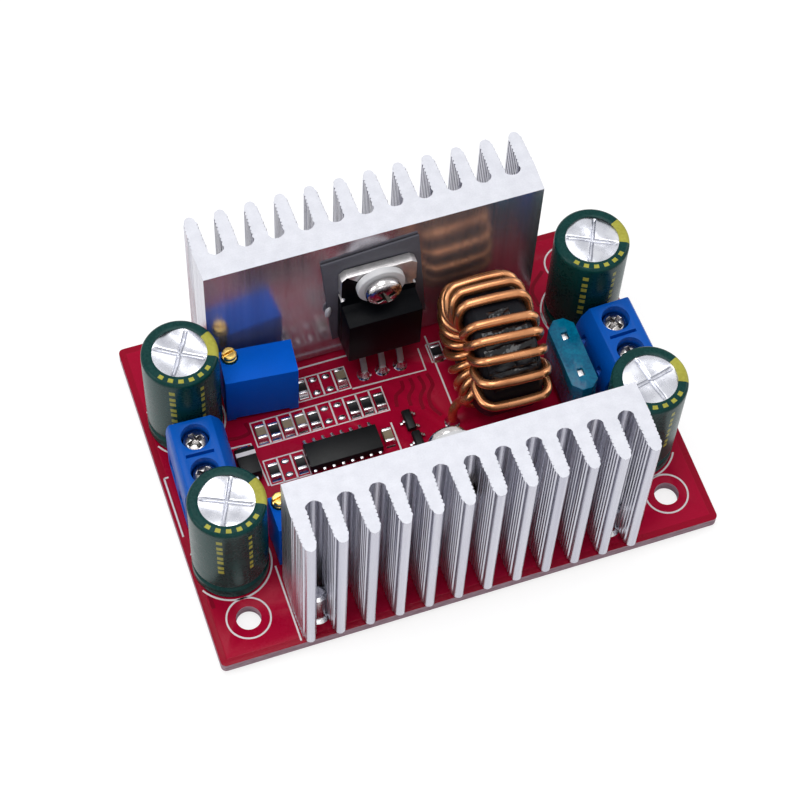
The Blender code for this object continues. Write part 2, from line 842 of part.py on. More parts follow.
def make_trimmer(place_name, centre, turn_degrees, plastic, brass):
    half_x, half_y = trimmer_length / 2, trimmer_width / 2
    low, top = part_floor, board_top + trimmer_height
    body = shape(box, around(0, half_x), around(0, half_y), (low, top))
    feet = (low - overrun, low + trimmer_foot_height)
    inner_x, inner_y = half_x - trimmer_foot_size, half_y - trimmer_foot_size
    screw_place = trimmer_screw_place()
    lead_places = [(step * trimmer_lead_pitch, 0) for step in (-1, 0, 1)]
    steps = [cut(box, around(0, half_x + overrun), around(0, inner_y), feet),
             cut(box, around(0, inner_x), around(0, half_y + overrun), feet),
             cut(rod, trimmer_bore_radius, top - trimmer_bore_depth, top + overrun, small_sides, "Z",
                 screw_place)]
    steps += [join(rod, trimmer_lead_radius, 0, low + 2 * trimmer_foot_height, lead_sides, "Z", lead)
              for lead in lead_places]
    item = make_piece("trimmer_body_" + place_name, body, plastic, steps)
    place(item, (*centre, 0), turn_degrees)
    foot = top - trimmer_bore_depth + seat_gap
    crown = top + trimmer_screw_stand
    profile = [(0, foot), (trimmer_screw_radius, foot), (trimmer_screw_radius, crown), (0, crown)]
    slot = cut(box, around(0, trimmer_screw_radius + overrun), around(0, trimmer_slot_width / 2),
               (crown - trimmer_slot_depth, crown + overrun))
    screw = make_piece("trimmer_screw_" + place_name, shape(lathe, profile, small_sides), brass, [slot])
    x, y = turned(screw_place, turn_degrees)
    place(screw, (centre[0] + x, centre[1] + y, 0), turn_degrees)
    drill(centre, turn_degrees, lead_places, trimmer_lead_radius)


# Inductor


def ring_point(side, radius, degrees):
    """A point of the coil: its place along X, its distance from the axis and its angle from +Y."""
    angle = math.radians(degrees)
    return (inductor_x + side, inductor_y + radius * math.cos(angle), inductor_z + radius * math.sin(angle))


def turn_section():
    """One turn round the core's section, from the bore's right end back to its left end."""
    bend = wire_bend
    slant = bend * (1 - math.sqrt(0.5))
    side, outer, inner = strand_side, strand_outer, strand_inner
    return [(side - bend, inner), (side, inner + bend), (side, outer - bend), (side - slant, outer - slant),
            (side - bend, outer), (bend - side, outer), (slant - side, outer - slant), (-side, outer - bend),
            (-side, inner + bend), (bend - side, inner)]


def coil_path():
    """A single layer of turns, each rim strand at its own angle, with both leads down to the board."""
    anchors = [first_lead_degrees] + list(strand_degrees) + [last_lead_degrees]
    path = []
    for turn in range(len(strand_degrees)):
        before, here, after = anchors[turn], anchors[turn + 1], anchors[turn + 2]
        for (side, radius), share in zip(turn_section(), turn_advance_shares):
            lean = strand_lean_degrees * max(-1, min(1, side / (strand_side - wire_bend))) / 2
            drift = (before - here) if share < 0 else (here - after)
            path.append(ring_point(side, radius, here + lean - drift * share))
    return first_lead() + path + last_lead()


def first_lead():
    foot_x = inductor_x - coil_half_width - lead_side_distance
    start = ring_point(wire_bend - strand_side, strand_inner, first_lead_degrees)
    foot_y = start[1]
    return [(foot_x, foot_y, 0), (foot_x, foot_y, board_top + lead_arch_height),
            (foot_x + wire_bend / 2, foot_y, board_top + lead_arch_height + wire_bend),
            ring_point(-strand_side - wire_radius, strand_inner + wire_bend, first_lead_degrees),
            start]


def last_lead():
    foot_x = inductor_x + coil_half_width + lead_side_distance / 2
    start = ring_point(strand_side - wire_bend, strand_inner, last_lead_degrees)
    foot_y = start[1]
    return [start, ring_point(strand_side + wire_radius, strand_inner + wire_bend, last_lead_degrees),
            (foot_x, foot_y, board_top + lead_arch_height), (foot_x, foot_y, 0)]


def make_inductor(ferrite, enamel):
    outer, inner, half, chamfer = core_outer_radius, core_inner_radius, core_width / 2, core_chamfer
    profile = [(outer - chamfer, -half), (outer, chamfer - half), (outer, half - chamfer),
               (outer - chamfer, half), (inner + chamfer, half), (inner, half - chamfer),
               (inner, chamfer - half), (inner + chamfer, -half)]
    core = bmesh.new()
    profile = [(radius, inductor_x + side) for radius, side in profile]
    lathe(core, profile, core_sides, "X", (inductor_y, inductor_z), True)
    make_piece("inductor_core", core, ferrite)
    path = coil_path()
    make_piece("inductor_winding", shape(tube, path, wire_radius, wire_sides), enamel)
    for foot in (path[0], path[-1]):
        drill(foot, 0, [(0, 0)], wire_radius)


# Fuse


def make_fuse(plastic, plating):
    low = board_top + fuse_standoff
    top = low + fuse_height
    head = top - fuse_head_height
    body = bmesh.new()
    box(body, around(0, fuse_body_thickness / 2), around(0, fuse_body_length / 2), (low, head + fuse_wall))
    blade_half = blade_spacing / 2 + blade_width / 2
    steps = [join(box, around(0, fuse_thickness / 2), around(0, fuse_length / 2), (head, top)),
             cut(box, around(0, fuse_slot / 2), around(0, blade_half + seat_gap),
                 (low - overrun, top - fuse_wall))]
    steps += [cut(box, around(0, probe_width / 2), around(side * blade_spacing / 2, probe_length / 2),
                  (top - fuse_wall - overrun, top + overrun)) for side in (-1, 1)]
    place(make_piece("fuse_body", body, plastic, steps), (fuse_x, fuse_centre_y, 0))
    crown = top - fuse_wall - seat_gap
    near = blade_spacing / 2 - blade_width / 2
    link = low + blade_link_level
    tail_in = blade_spacing / 2 - blade_tail_width / 2
    tail_out = blade_spacing / 2 + blade_tail_width / 2
    right = [(near, low), (tail_in, board_top + seat_gap), (tail_in, 0), (tail_out, 0),
             (tail_out, board_top + seat_gap), (blade_half, low), (blade_half, crown), (near, crown),
             (near, link + blade_link_height)]
    left = [(-y, z) for y, z in right[::-1]]
    outline = [(near, link)] + right + left + [(-near, link)]
    blades = shape(prism, outline, -blade_thickness / 2, blade_thickness / 2, "X")
    place(make_piece("fuse_blades", blades, plating), (fuse_x, fuse_centre_y, 0))
    for side in (-1, 1):
        slot_holes.append((fuse_x, fuse_centre_y + side * blade_spacing / 2,
                           blade_thickness / 2 + solder_hole_clearance,
                           blade_tail_width / 2 + solder_hole_clearance))


# Chips on the board


def gull_path(span, foot, body_half, middle, floor):
    """A bent lead from under the case to its foot, on the +Y side: (y, z) points."""
    return [(0, middle), (body_half + foot / 3, middle), (span / 2 - foot, floor), (span / 2, floor)]


def case_outline(half, low, high):
    """A moulded case's section, widest where the halves of the mould meet."""
    middle = (low + high) / 2
    low += chip_standoff
    return [(half - chip_taper, low), (half, middle), (half - chip_taper, high),
            (chip_taper - half, high), (-half, middle), (chip_taper - half, low)]


def make_controller(material):
    low = part_floor
    high = low + chip_height
    middle = (low + high) / 2
    half = chip_width / 2
    body = shape(prism, case_outline(half, low, high), -chip_length / 2, chip_length / 2, "X")
    floor = low + chip_lead_thickness / 2
    path = gull_path(chip_lead_span, chip_lead_foot, half, middle, floor)
    path = [(-y, z) for y, z in path[:0:-1]] + path[1:]
    leads = bmesh.new()
    for pair in range(chip_lead_pairs):
        x = (pair - (chip_lead_pairs - 1) / 2) * chip_lead_pitch
        prism(leads, strip(path, chip_lead_thickness), *around(x, chip_lead_width / 2), "X")
    centre = (board_length * chip_centre_x_share, board_width * chip_centre_y_share, 0)
    place(make_piece("controller_chip", body, material, [("UNION", leads)]), centre)


def make_small_transistor(name, centre, material):
    """Three leads: two towards +X and one towards -X."""
    low = part_floor
    half = small_body_width / 2
    middle = low + small_body_height / 2
    body = shape(prism, case_outline(half, low, low + small_body_height), -small_body_length / 2,
                 small_body_length / 2, "Y")
    floor = low + small_lead_thickness / 2
    path = gull_path(small_lead_span, small_lead_width, half, middle, floor)
    leads = bmesh.new()
    for y in (-small_lead_pitch, small_lead_pitch):
        prism(leads, strip(path, small_lead_thickness), *around(y, small_lead_width / 2), "Y")
    mirrored = [(-x, z) for x, z in path]
    prism(leads, strip(mirrored, small_lead_thickness), *around(0, small_lead_width / 2), "Y")
    place(make_piece(name, body, material, [("UNION", leads)]), (*centre, 0))


def make_diode(material):
    low = part_floor
    high = low + diode_height
    middle = (low + high) / 2
    half = diode_length / 2
    body = shape(prism, case_outline(half, low, high), -diode_width / 2, diode_width / 2, "X")
    floor = low + diode_lead_thickness / 2
    reach = diode_span / 2 - diode_lead_thickness / 2
    path = [(0, middle), (reach, middle), (reach, floor), (half - diode_lead_width / 2, floor)]
    leads = bmesh.new()
    path = [(-y, z) for y, z in path[:0:-1]] + path[1:]
    prism(leads, strip(path, diode_lead_thickness), *around(0, diode_lead_width / 2), "X")
    x = -(terminal_x - terminal_inner - diode_terminal_gap - diode_width / 2)
    centre = (x, board_width * diode_centre_y_share, 0)
    place(make_piece("diode", body, material, [("UNION", leads)]), centre)


def make_flat_part(name, kind, centre, material):
    """A chip resistor or capacitor along Y, with its ends a little proud."""
    high = part_floor + (ceramic_height if kind == "ceramic" else resistor_height)
    low = part_floor
    half, step = part_length / 2, part_end_step
    inner = half - part_end
    outline = [(-half, low), (-inner, low), (-inner, low + step), (inner, low + step), (inner, low),
               (half, low), (half, high), (inner, high), (inner, high - step), (-inner, high - step),
               (-inner, high), (-half, high)]
    body = shape(prism, outline, -part_width / 2, part_width / 2, "X")
    place(make_piece(name, body, material), (*centre, 0))


def make_flat_parts(finishes):
    rows = (("rear", rear_row, rear_row_place_shares), ("middle", middle_row, middle_row_place_shares),
            ("front", front_row, front_row_place_shares))
    for row_name, cells, shares in rows:
        for cell, kind in cells.items():
            centre = (board_length * (shares[0] + cell * row_pitch_share), board_width * shares[1])
            make_flat_part(f"{kind}_{row_name}_{cell + 1}", kind, centre, finishes[kind])
    for name, kind, shares in (("ceramic_by_controller", "ceramic", side_part_place_shares),
                               ("resistor_by_inductor", "resistor", inductor_part_place_shares)):
        centre = (board_length * shares[0], board_width * shares[1])
        make_flat_part(name, kind, centre, finishes[kind])


# Board


def mount_holes(mesh):
    for side_x in (-1, 1):
        for side_y in (-1, 1):
            centre = (side_x * (board_length / 2 - mount_hole_inset_x),
                      side_y * (board_width / 2 - mount_hole_inset_y))
            rod(mesh, mount_hole_radius, board_low - overrun, board_top + overrun, hole_sides, "Z", centre)


def solder_holes(mesh):
    for x, y, radius in round_holes:
        corner_radius = radius / math.cos(math.pi / lead_sides)
        rod(mesh, corner_radius, board_low - overrun, board_top + overrun, lead_sides, "Z", (x, y))
    for x, y, half_x, half_y in slot_holes:
        box(mesh, around(x, half_x), around(y, half_y), (board_low - overrun, board_top + overrun))


def make_board(material):
    outline = rounded_rectangle(board_length / 2, board_width / 2, board_corner_radius)
    body = shape(prism, outline, board_low, board_top)
    make_piece("board", body, material, [cut(mount_holes), cut(solder_holes)])


def capacitor_places():
    """Each can stands beside its terminal block and near the board's end."""
    places = {}
    for name, margin in capacitor_margins.items():
        side = -1 if name.endswith("left") else 1
        x = side * (board_length / 2 - margin - capacitor_radius)
        places[name] = (x, capacitor_rear_y if name.startswith("rear") else capacitor_front_y)
    return places


def build():
    clear_scene()
    aluminium = finish("heatsink_aluminium", (0.78, 0.78, 0.80), 1.0, 0.35)
    black_plastic = finish("black_moulding", (0.02, 0.02, 0.022), 0.0, 0.45)
    grey_rubber = finish("grey_silicone", (0.30, 0.31, 0.32), 0.0, 0.8)
    white_plastic = finish("white_nylon", (0.85, 0.85, 0.82), 0.0, 0.5)
    steel = finish("plated_steel", (0.72, 0.72, 0.74), 1.0, 0.3)
    can_metal = finish("can_aluminium", (0.86, 0.87, 0.88), 1.0, 0.3)
    sleeve_green = finish("sleeve_green", (0.01, 0.06, 0.06), 0.0, 0.35)
    blue_plastic = finish("terminal_blue", (0.0, 0.12, 0.55), 0.0, 0.4)
    trimmer_blue = finish("trimmer_blue", (0.0, 0.07, 0.4), 0.0, 0.4)
    brass = finish("brass", (0.83, 0.60, 0.25), 1.0, 0.3)
    tin = finish("tin", (0.75, 0.75, 0.76), 1.0, 0.35)
    ferrite = finish("core_black", (0.012, 0.012, 0.014), 0.0, 0.4)
    enamel = finish("copper_enamel", (0.65, 0.27, 0.12), 1.0, 0.25)
    fuse_plastic = finish("fuse_teal", (0.0, 0.28, 0.42), 0.0, 0.15)
    mask_red = finish("board_red", (0.42, 0.0, 0.02), 0.0, 0.35)
    ceramic = finish("ceramic_tan", (0.35, 0.28, 0.20), 0.0, 0.5)

    sinks = (("rear", heatsink_rear_shift, heatsink_face_y, 0),
             ("front", heatsink_front_shift, -heatsink_face_y, 180))
    for name, x, y, turn in sinks:
        make_heatsink("heatsink_" + name, x, y, turn, aluminium)
        make_insulating_pad("insulating_pad_" + name, x, y, turn, grey_rubber)
        make_transistor("transistor_" + name, x, y, turn, black_plastic)
        make_bushing("bushing_" + name, x, y, turn, white_plastic)
        make_clamp_screw("clamp_screw_" + name, x, y, turn, steel)

    places = capacitor_places()
    for name, centre in places.items():
        make_capacitor(name, centre, (can_metal, sleeve_green))

    for side_name, side in (("left", -1), ("right", 1)):
        make_terminal_block(side_name, side, (blue_plastic, steel, tin))

    trimmer_x = places["rear_left"][0] + capacitor_radius + trimmer_capacitor_gap + trimmer_length / 2
    rear_y = heatsink_face_y - trimmer_rear_gap - trimmer_width / 2
    front_y = trimmer_front_gap + trimmer_width / 2 - heatsink_face_y
    make_trimmer("rear", (trimmer_x, rear_y), trimmer_rear_turn_degrees, trimmer_blue, brass)
    make_trimmer("front", (trimmer_x, front_y), 0, trimmer_blue, brass)

    make_inductor(ferrite, enamel)
    make_fuse(fuse_plastic, tin)
    make_controller(black_plastic)
    for number, shares in enumerate(small_place_shares, 1):
        centre = (board_length * shares[0], board_width * shares[1])
        make_small_transistor(f"small_transistor_{number}", centre, black_plastic)
    make_diode(black_plastic)
    make_flat_parts({"ceramic": ceramic, "resistor": black_plastic})
    make_board(mask_red)


build()
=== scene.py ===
# %% [markdown]
# # A boost converter module
# This notebook dresses a small power supply board: two finned heatsinks, a wound ring, four
# can capacitors and the small parts between them. The solid model gives every place and size.
# Here each piece gets its fine shape and its finish.

# %% Load the solid model
import json
import math
import random

import bmesh
import bpy
from mathutils import Matrix, Vector


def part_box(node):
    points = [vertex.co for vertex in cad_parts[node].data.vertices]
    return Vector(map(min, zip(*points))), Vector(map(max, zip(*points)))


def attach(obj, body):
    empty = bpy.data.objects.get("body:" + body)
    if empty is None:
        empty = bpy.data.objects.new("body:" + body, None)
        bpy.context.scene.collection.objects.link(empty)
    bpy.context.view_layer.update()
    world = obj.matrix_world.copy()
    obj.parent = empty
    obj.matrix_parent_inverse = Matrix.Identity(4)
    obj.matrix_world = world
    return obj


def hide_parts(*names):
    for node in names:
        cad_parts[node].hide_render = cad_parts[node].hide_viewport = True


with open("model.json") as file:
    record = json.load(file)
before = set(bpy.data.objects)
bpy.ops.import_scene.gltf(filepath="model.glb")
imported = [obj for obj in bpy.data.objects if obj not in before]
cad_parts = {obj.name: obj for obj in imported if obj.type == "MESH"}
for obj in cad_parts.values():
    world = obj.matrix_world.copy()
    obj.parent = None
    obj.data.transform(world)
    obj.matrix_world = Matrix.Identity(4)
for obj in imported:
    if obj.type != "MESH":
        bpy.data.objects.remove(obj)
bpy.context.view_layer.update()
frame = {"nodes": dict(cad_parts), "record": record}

nodes = frame["nodes"]

# %% [markdown]
# ## Reading places from the frame
# Every node knows its own box. The board's top is the level that all other parts stand on,
# and the lead tips under the board show where the solder joints belong. A tip is found by
# looking for points near the lowest level and gathering those that lie close together.

# %% Levels and lead tips
board_low, board_top = (corner.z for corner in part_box("board"))
board_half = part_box("board")[1].xy
tip_level = 0.0003
tip_reach = 0.0015


def boxed(node):
    """A node's lowest corner, highest corner and middle."""
    low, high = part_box(node)
    return low, high, (low + high) / 2


def lead_tips(name):
    """The middle of each lead that a node sends through the board, with its half width."""
    groups = []
    for vertex in nodes[name].data.vertices:
        if vertex.co.z < tip_level:
            for group in groups:
                if (group[0] - vertex.co).length < tip_reach:
                    group.append(vertex.co.copy())
                    break
            else:
                groups.append([vertex.co.copy()])
    middles = [sum(group, Vector()) / len(group) for group in groups]
    return [(middle, max((point - middle).length for point in group))
            for middle, group in zip(middles, groups)]


root_nodes = frame["record"]["behaviour"]["bodies"]["root"]
tips = {name: lead_tips(name) for name in root_nodes if name != "board"}
print(sum(len(found) for found in tips.values()), "leads through the board")

# %% [markdown]
# ## Mesh helpers
# A mesh starts in bmesh, where points and faces are added by simple rules: a profile turned
# about an axis, an outline pushed along one, or a box. Booleans and bevels are modifiers, and
# their result is baked into a plain mesh, so that each finished object holds only its form.

# %% Points and basic forms
def spot(axis, first, second, level):
    """A point at a level along an axis, with two coordinates across it."""
    order = {"X": (level, first, second), "Y": (first, level, second), "Z": (first, second, level)}
    return Vector(order[axis])


def polar(reach, angle):
    return reach * math.cos(angle), reach * math.sin(angle)


def arc(centre, radius, start, stop, steps):
    """Points on an arc, angles in degrees, both ends among them."""
    degrees = [start + (stop - start) * step / steps for step in range(steps + 1)]
    turned = [polar(radius, math.radians(angle)) for angle in degrees]
    return [(centre[0] + x, centre[1] + y) for x, y in turned]


def circle(radius, sides):
    """Points round the origin. A radius of 0 gives one point."""
    return [polar(radius, math.tau * step / sides) for step in range(sides if radius else 1)]


def skin(mesh, rings, closed=False):
    """Faces between rings of points. A ring of one point is a pole."""
    pairs = list(zip(rings, rings[1:])) + ([(rings[-1], rings[0])] if closed else [])
    for low, high in pairs:
        for step in range(max(len(low), len(high))):
            corners = [low[step % len(low)], low[(step + 1) % len(low)],
                       high[(step + 1) % len(high)], high[step % len(high)]]
            mesh.faces.new(list(dict.fromkeys(corners)))


def prism(mesh, outline, low, high, axis="Z"):
    rings = [[mesh.verts.new(spot(axis, *point, level)) for point in outline] for level in (low, high)]
    skin(mesh, rings)
    for ring in rings:
        mesh.faces.new(ring)


def box(mesh, low, high):
    outline = [(low[0], low[1]), (high[0], low[1]), (high[0], high[1]), (low[0], high[1])]
    prism(mesh, outline, low[2], high[2])


def lathe(mesh, profile, sides, axis="Z", centre=(0, 0), closed=False):
    """Turn (radius, level) points about an axis."""
    rings = [[mesh.verts.new(spot(axis, centre[0] + x, centre[1] + y, level))
              for x, y in circle(radius, sides)] for radius, level in profile]
    skin(mesh, rings, closed)


def rod(mesh, centre, radius, low, high, sides):
    lathe(mesh, [(0, low), (radius, low), (radius, high), (0, high)], sides, "Z", centre)


def shape(maker, *values, **options):
    mesh = bmesh.new()
    maker(mesh, *values, **options)
    return mesh


# %% Objects, booleans and bevels
smooth_angle = math.radians(38)
bevel_angle = math.radians(30)
screw_bevel_angle = math.radians(45)
flat_angle = math.radians(1)
merge_gap = 0.000001
made = []


def linked(name, data):
    item = bpy.data.objects.new(name, data)
    bpy.context.scene.collection.objects.link(item)
    return item


def to_object(name, mesh):
    """A mesh object whose faces all point out."""
    bmesh.ops.recalc_face_normals(mesh, faces=mesh.faces)
    data = bpy.data.meshes.new(name)
    mesh.to_mesh(data)
    mesh.free()
    return linked(name, data)


def worked_out(item):
    """The mesh that an object's modifiers make."""
    depsgraph = bpy.context.evaluated_depsgraph_get()
    return bpy.data.meshes.new_from_object(item.evaluated_get(depsgraph))


def baked(item):
    data = worked_out(item)
    item.modifiers.clear()
    item.data = data
    data.name = item.name
    return item


def combine(item, operation, *meshes):
    """Join meshes to an object, or cut them out of it."""
    tools = [to_object(item.name + "_tool", mesh) for mesh in meshes]
    for tool in tools:
        modifier = item.modifiers.new(operation, "BOOLEAN")
        modifier.operation = operation
        modifier.object = tool
    baked(item)
    for tool in tools:
        bpy.data.objects.remove(tool, do_unlink=True)
    return item


def bevelled(item, width, segments=2, angle=bevel_angle):
    """Round every edge sharper than an angle, as a mould or a tumbling drum leaves it."""
    modifier = item.modifiers.new("edges", "BEVEL")
    modifier.width = width
    modifier.segments = segments
    modifier.limit_method = "ANGLE"
    modifier.angle_limit = angle
    return baked(item)


def mark_faces(item, test):
    """Give each face a share from 0 to 1 of a second finish, by a test on its middle."""
    attribute = item.data.attributes.new("second", "FLOAT", "FACE")
    for face in item.data.polygons:
        attribute.data[face.index].value = float(test(face.center))
    return item


def present(item, material, slot, *replaced, body="root"):
    """Finish a piece: its material, smooth shading, its body, and the nodes it stands for hidden."""
    item.data.materials.clear()
    item.data.materials.append(material)
    item.data.shade_smooth()
    item.data.set_sharp_from_angle(angle=smooth_angle)
    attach(item, body)
    if replaced:
        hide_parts(*replaced)
    made.append(item)
    return item


def dressed(node, material, slot, edge, test=None, body="root"):
    """A solid's own form with whole flat faces, rounded edges and, by a test, marked faces."""
    mesh = bmesh.new()
    mesh.from_mesh(nodes[node].data)
    bmesh.ops.remove_doubles(mesh, verts=mesh.verts, dist=merge_gap)
    bmesh.ops.dissolve_limit(mesh, angle_limit=flat_angle, verts=mesh.verts, edges=mesh.edges)
    item = to_object(node + "_dressed", mesh)
    if test:
        mark_faces(item, test)
    return present(bevelled(item, edge), material, slot, node, body=body)


# %% [markdown]
# ## Building node graphs in short lines
# A material is a graph of nodes. One small function adds a node, fills its sockets and makes
# its links, so that a graph reads as a list of steps. Effects that several finishes share are
# node groups: they give out only masks and heights, and the shader itself stays in the material.

# %% Node helpers
def fill(tree, item, pairs):
    """Set or link a node's inputs. Pairs are (socket, value or link)."""
    for socket, value in pairs:
        if isinstance(value, bpy.types.NodeSocket):
            tree.links.new(value, item.inputs[socket])
        else:
            item.inputs[socket].default_value = value


def new_node(tree, kind, pairs=(), **settings):
    item = tree.nodes.new(kind)
    for name, value in settings.items():
        setattr(item, name, value)
    fill(tree, item, pairs)
    return item


def start_tree(name, kind, inputs, outputs):
    """A node group with named sockets: (name, type) and, for some inputs, a default."""
    tree = bpy.data.node_groups.new(name, kind)
    for socket, socket_type, *default in inputs:
        new_input = tree.interface.new_socket(socket, in_out="INPUT", socket_type="NodeSocket" + socket_type)
        if default:
            new_input.default_value = default[0]
    for socket, socket_type in outputs:
        tree.interface.new_socket(socket, in_out="OUTPUT", socket_type="NodeSocket" + socket_type)
    return tree, tree.nodes.new("NodeGroupInput").outputs, tree.nodes.new("NodeGroupOutput")


def shade(colour, share=1.0):
    return (*[channel * share for channel in colour], 1)


class Graph:
    """A shader graph. Each method adds a node and gives back its result."""

    def __init__(self, tree):
        self.tree = tree

    def add(self, kind, *pairs, **settings):
        return new_node(self.tree, "ShaderNode" + kind, pairs, **settings).outputs

    def math(self, operation, *values, clamp=False):
        return self.add("Math", *enumerate(values), operation=operation, use_clamp=clamp)[0]

    def split(self, vector):
        return self.add("SeparateXYZ", (0, vector))

    def blend(self, share, first, second):
        """A colour between two."""
        return self.add("Mix", (0, share), (6, first), (7, second), data_type="RGBA")[2]

    def mix(self, share, first, second):
        """A value between two."""
        return self.add("Mix", (0, share), (2, first), (3, second), data_type="FLOAT")[0]

    def between(self, value, low, high, start=0.0, stop=1.0):
        """Map a value from one range to another, clamped."""
        return self.add("MapRange", ("Value", value), ("From Min", low), ("From Max", high),
                        ("To Min", start), ("To Max", stop))[0]

    def spread(self, share, start, stop):
        return self.between(share, 0.0, 1.0, start, stop)


# %% Shared effects
def make_speckle_group():
    """Soft clouds and fine grain over one another."""
    inputs = (("Vector", "Vector"), ("Cloud Scale", "Float"), ("Grain Scale", "Float"),
              ("Grain Share", "Float"))
    tree, given, result = start_tree("cloud_and_grain", "ShaderNodeTree", inputs,
                                     (("Mask", "Float"), ("Grain", "Float")))
    graph = Graph(tree)
    cloud = graph.add("TexNoise", ("Vector", given[0]), ("Scale", given[1]), ("Detail", 3.0))
    grain = graph.add("TexNoise", ("Vector", given[0]), ("Scale", given[2]), ("Detail", 2.0))
    soft, fine = [graph.between(noise["Fac"], 0.3, 0.7) for noise in (cloud, grain)]
    fill(tree, result, (("Mask", graph.mix(given[3], soft, fine)), ("Grain", fine)))
    return tree


def make_line_group():
    """Fine parallel lines, as drawing, brushing or sawing leaves them: noise stretched one way."""
    inputs = (("Vector", "Vector"), ("Stretch", "Vector", (1, 1, 1)))
    tree, given, result = start_tree("drawn_lines", "ShaderNodeTree", inputs, (("Mask", "Float"),))
    graph = Graph(tree)
    stretched = graph.add("VectorMath", (0, given[0]), (1, given[1]), operation="MULTIPLY")[0]
    noise = graph.add("TexNoise", ("Vector", stretched), ("Scale", 1.0), ("Detail", 4.0))
    fill(tree, result, (("Mask", graph.between(noise["Fac"], 0.3, 0.7)),))
    return tree


def make_scuff_group():
    """Thin random scratches: a narrow band of a warped noise."""
    inputs = (("Vector", "Vector"), ("Scale", "Float"), ("Width", "Float", 0.02))
    tree, given, result = start_tree("scuffs", "ShaderNodeTree", inputs, (("Mask", "Float"),))
    graph = Graph(tree)
    noise = graph.add("TexNoise", ("Vector", given[0]), ("Scale", given[1]), ("Detail", 1.0),
                      ("Distortion", 1.5))
    off = graph.math("ABSOLUTE", graph.math("SUBTRACT", noise["Fac"], 0.5))
    near = graph.math("SUBTRACT", 1.0, graph.math("DIVIDE", off, given[2]), clamp=True)
    fill(tree, result, (("Mask", near),))
    return tree


speckle_group, line_group, scuff_group = make_speckle_group(), make_line_group(), make_scuff_group()
print("shared effects:", speckle_group.name, line_group.name, scuff_group.name)


# %% A material's frame
class Finish(Graph):
    """A material's graph, with its shader and the object's own coordinates."""

    def __init__(self, name):
        self.material = bpy.data.materials.new(name)
        self.material.use_nodes = True
        super().__init__(self.material.node_tree)
        self.position = self.add("TexCoord")["Object"]

    def effect(self, group, *pairs):
        return self.add("Group", ("Vector", self.position), *pairs, node_tree=group)

    def speckle(self, cloud, grain, share=0.5):
        found = self.effect(speckle_group, ("Cloud Scale", cloud), ("Grain Scale", grain),
                            ("Grain Share", share))
        return found["Mask"], found["Grain"]

    def lines(self, *stretch):
        return self.effect(line_group, ("Stretch", stretch))["Mask"]

    def marked(self):
        return self.add("Attribute", attribute_name="second")["Fac"]

    def done(self, colour, rough, height, depth, strength=1.0, metallic=0.0, gloss=0.5, others=()):
        """Fill the shader: colour, roughness, relief and the rest."""
        relief = self.add("Bump", ("Height", height), ("Distance", depth), ("Strength", strength))[0]
        fill(self.tree, self.tree.nodes["Principled BSDF"],
             (("Base Color", colour), ("Roughness", rough), ("Normal", relief), ("Metallic", metallic),
              ("Specular IOR Level", gloss), *others))
        return self.material


def plain_finish(name, colour, roughness, metallic=0.0, dark_share=0.8, spread=0.08, cloud=250.0,
                 grain=5000.0, grain_depth=0.000008, scuff=0.0, gloss=0.5):
    """A moulded, turned or painted finish: its colour and gloss wander a little over the surface."""
    graph = Finish(name)
    mask, fine = graph.speckle(cloud, grain)
    rough = graph.spread(mask, roughness - spread, roughness + spread)
    if scuff:
        marks = graph.effect(scuff_group, ("Scale", cloud))["Mask"]
        rough = graph.math("ADD", rough, graph.math("MULTIPLY", marks, scuff))
    toned = graph.blend(mask, shade(colour, dark_share), shade(colour))
    return graph.done(toned, rough, fine, grain_depth, metallic=metallic, gloss=gloss)


fine_grain_depth = 0.00001


def two_finishes(name, first, second, gloss=0.2):
    """One material for a piece of two stuffs. Each is (colour, roughness, metallic)."""
    graph = Finish(name)
    mask, fine = graph.speckle(900.0, 6000.0)
    second_here = graph.marked()
    base = graph.blend(mask, shade(first[0], 0.7), shade(first[0]))
    other = graph.blend(mask, shade(second[0], 0.75), shade(second[0]))
    rough, metallic = [graph.spread(second_here, first[index], second[index]) for index in (1, 2)]
    rough = graph.math("ADD", rough, graph.spread(mask, -0.06, 0.06))
    return graph.done(graph.blend(second_here, base, other), rough, fine, fine_grain_depth, metallic=metallic,
                      gloss=gloss)


# %% [markdown]
# ## Finishes
# The colours are linear values matched to the photograph. Saw-cut aluminium is pale and
# dull on its ends, lined along the extrusion on its sides and almost a mirror on its flat back.
# The face's direction and place tell the three apart, so one material serves the whole piece.

# %% Heatsink aluminium
heatsink_face = abs(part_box("heatsink_rear")[0].y)
face_margin = 0.0004
drawn_depth = 0.000014


